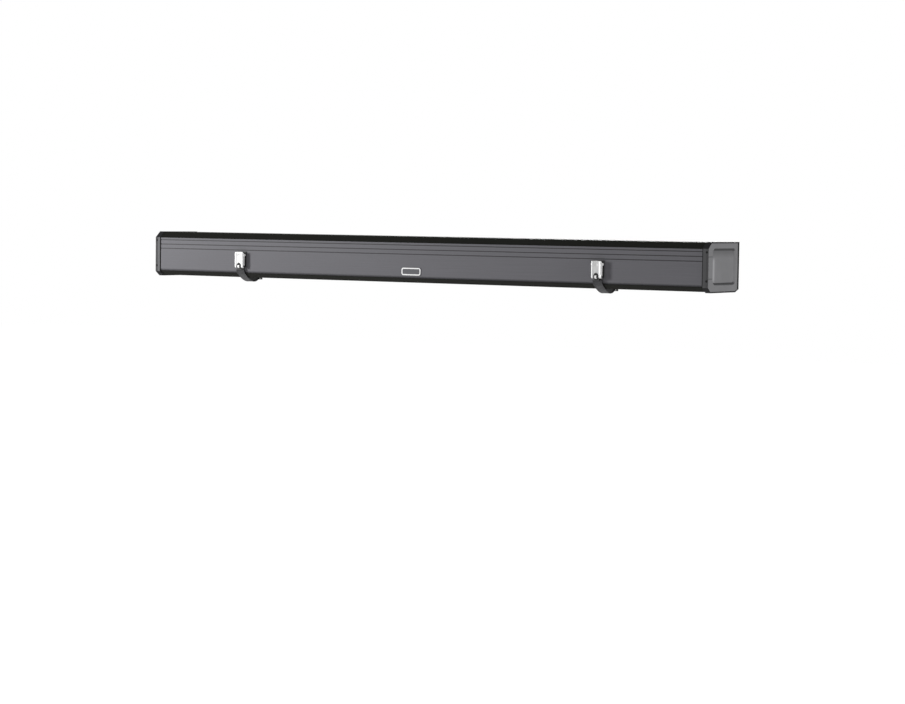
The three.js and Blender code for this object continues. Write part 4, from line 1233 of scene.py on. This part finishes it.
def build_tube(node, bore, marks, shape):
    """A leg's tube, with a shallow ring round it at each mark."""
    (x0, x1), y, z, outer = round_box(node)
    profile = [(x0, outer - LEG_CHAMFER), (x0 + LEG_CHAMFER, outer)]
    for x in marks:
        profile += [(x - MARK_HALF, outer), (x - MARK_FLOOR_HALF, outer - MARK_DEPTH),
                    (x + MARK_FLOOR_HALF, outer - MARK_DEPTH), (x + MARK_HALF, outer)]
    profile += [(x1 - LEG_CHAMFER, outer), (x1, outer - LEG_CHAMFER), (x1, bore), (x0, bore)]
    turned_x(shape, profile, y, z, 40, looped=True)


def make_legs():
    for side, sign in SIDES:
        marks = sorted(sign * (MARK_START + MARK_PITCH * k) for k in range(MARK_COUNT))
        outer, inner = f"{side}_outer_leg", f"{side}_inner_leg"
        piece(f"{side}_leg_tube", partial(build_tube, outer, OUTER_LEG_BORE, ()), "arm_aluminium",
              f"{side}_leg", [outer])
        piece(f"{side}_leg_inner_tube", partial(build_tube, inner, INNER_LEG_BORE, marks), "arm_aluminium",
              f"{side}_leg_slide", [inner])
        piece(f"{side}_ribbed_collar", partial(build_collar, side), "black_plastic", f"{side}_collar",
              [f"{side}_lock_collar"])
        piece(f"{side}_treaded_foot", partial(build_foot, side), "rubber", f"{side}_leg_slide",
              [f"{side}_leg_foot"])


# End caps' clip buttons and the badge's pale rim
def build_clip(x, z, face, shape):
    profile = [(face + CLIP_SINK, CLIP_STEM), (face - CLIP_SHARES[0][0] * CLIP_RISE, CLIP_STEM)]
    profile += [(face - rise * CLIP_RISE, r * CLIP_RADIUS) for rise, r in CLIP_SHARES]
    skin(shape, [[at(x + a, y, z + b) for a, b in circle(r, 24)] for y, r in profile])


def build_badge_rim(shape):
    across, (front, _), up = local_box("badge_plate")
    outer = rounded(drawn_in(across, BADGE_MARGIN), drawn_in(up, BADGE_MARGIN), BADGE_CORNER)
    inner = rounded(drawn_in(across, BADGE_RIM[0]), drawn_in(up, BADGE_RIM[1]), BADGE_RIM_CORNER)
    deep, proud = front + BADGE_SINK, front - BADGE_RISE
    rings = [(outer, deep), (outer, proud), (inner, proud), (inner, deep)]
    skin(shape, [[at(u, y, v) for u, v in outline] for outline, y in rings], looped=True)


def make_trim():
    piece("badge_rim", build_badge_rim, "badge_rim", "rail")
    for side, sign in SIDES:
        (x0, x1), (face, _), _ = local_box(f"{side}_end_cap")
        x = (x1 if sign > 0 else x0) - sign * CLIP_INSET
        for level, z in CLIP_HEIGHTS.items():
            piece(f"{side}_{level}_clip", partial(build_clip, x, z, face), "rubber", "case")


make_camera()
make_world()
make_lights()
make_floor()
make_finishes()
dress_nodes()
make_straps()
make_latches()
make_canopy()
make_arms()
make_legs()
make_trim()

scene.view_settings.view_transform = "Standard"
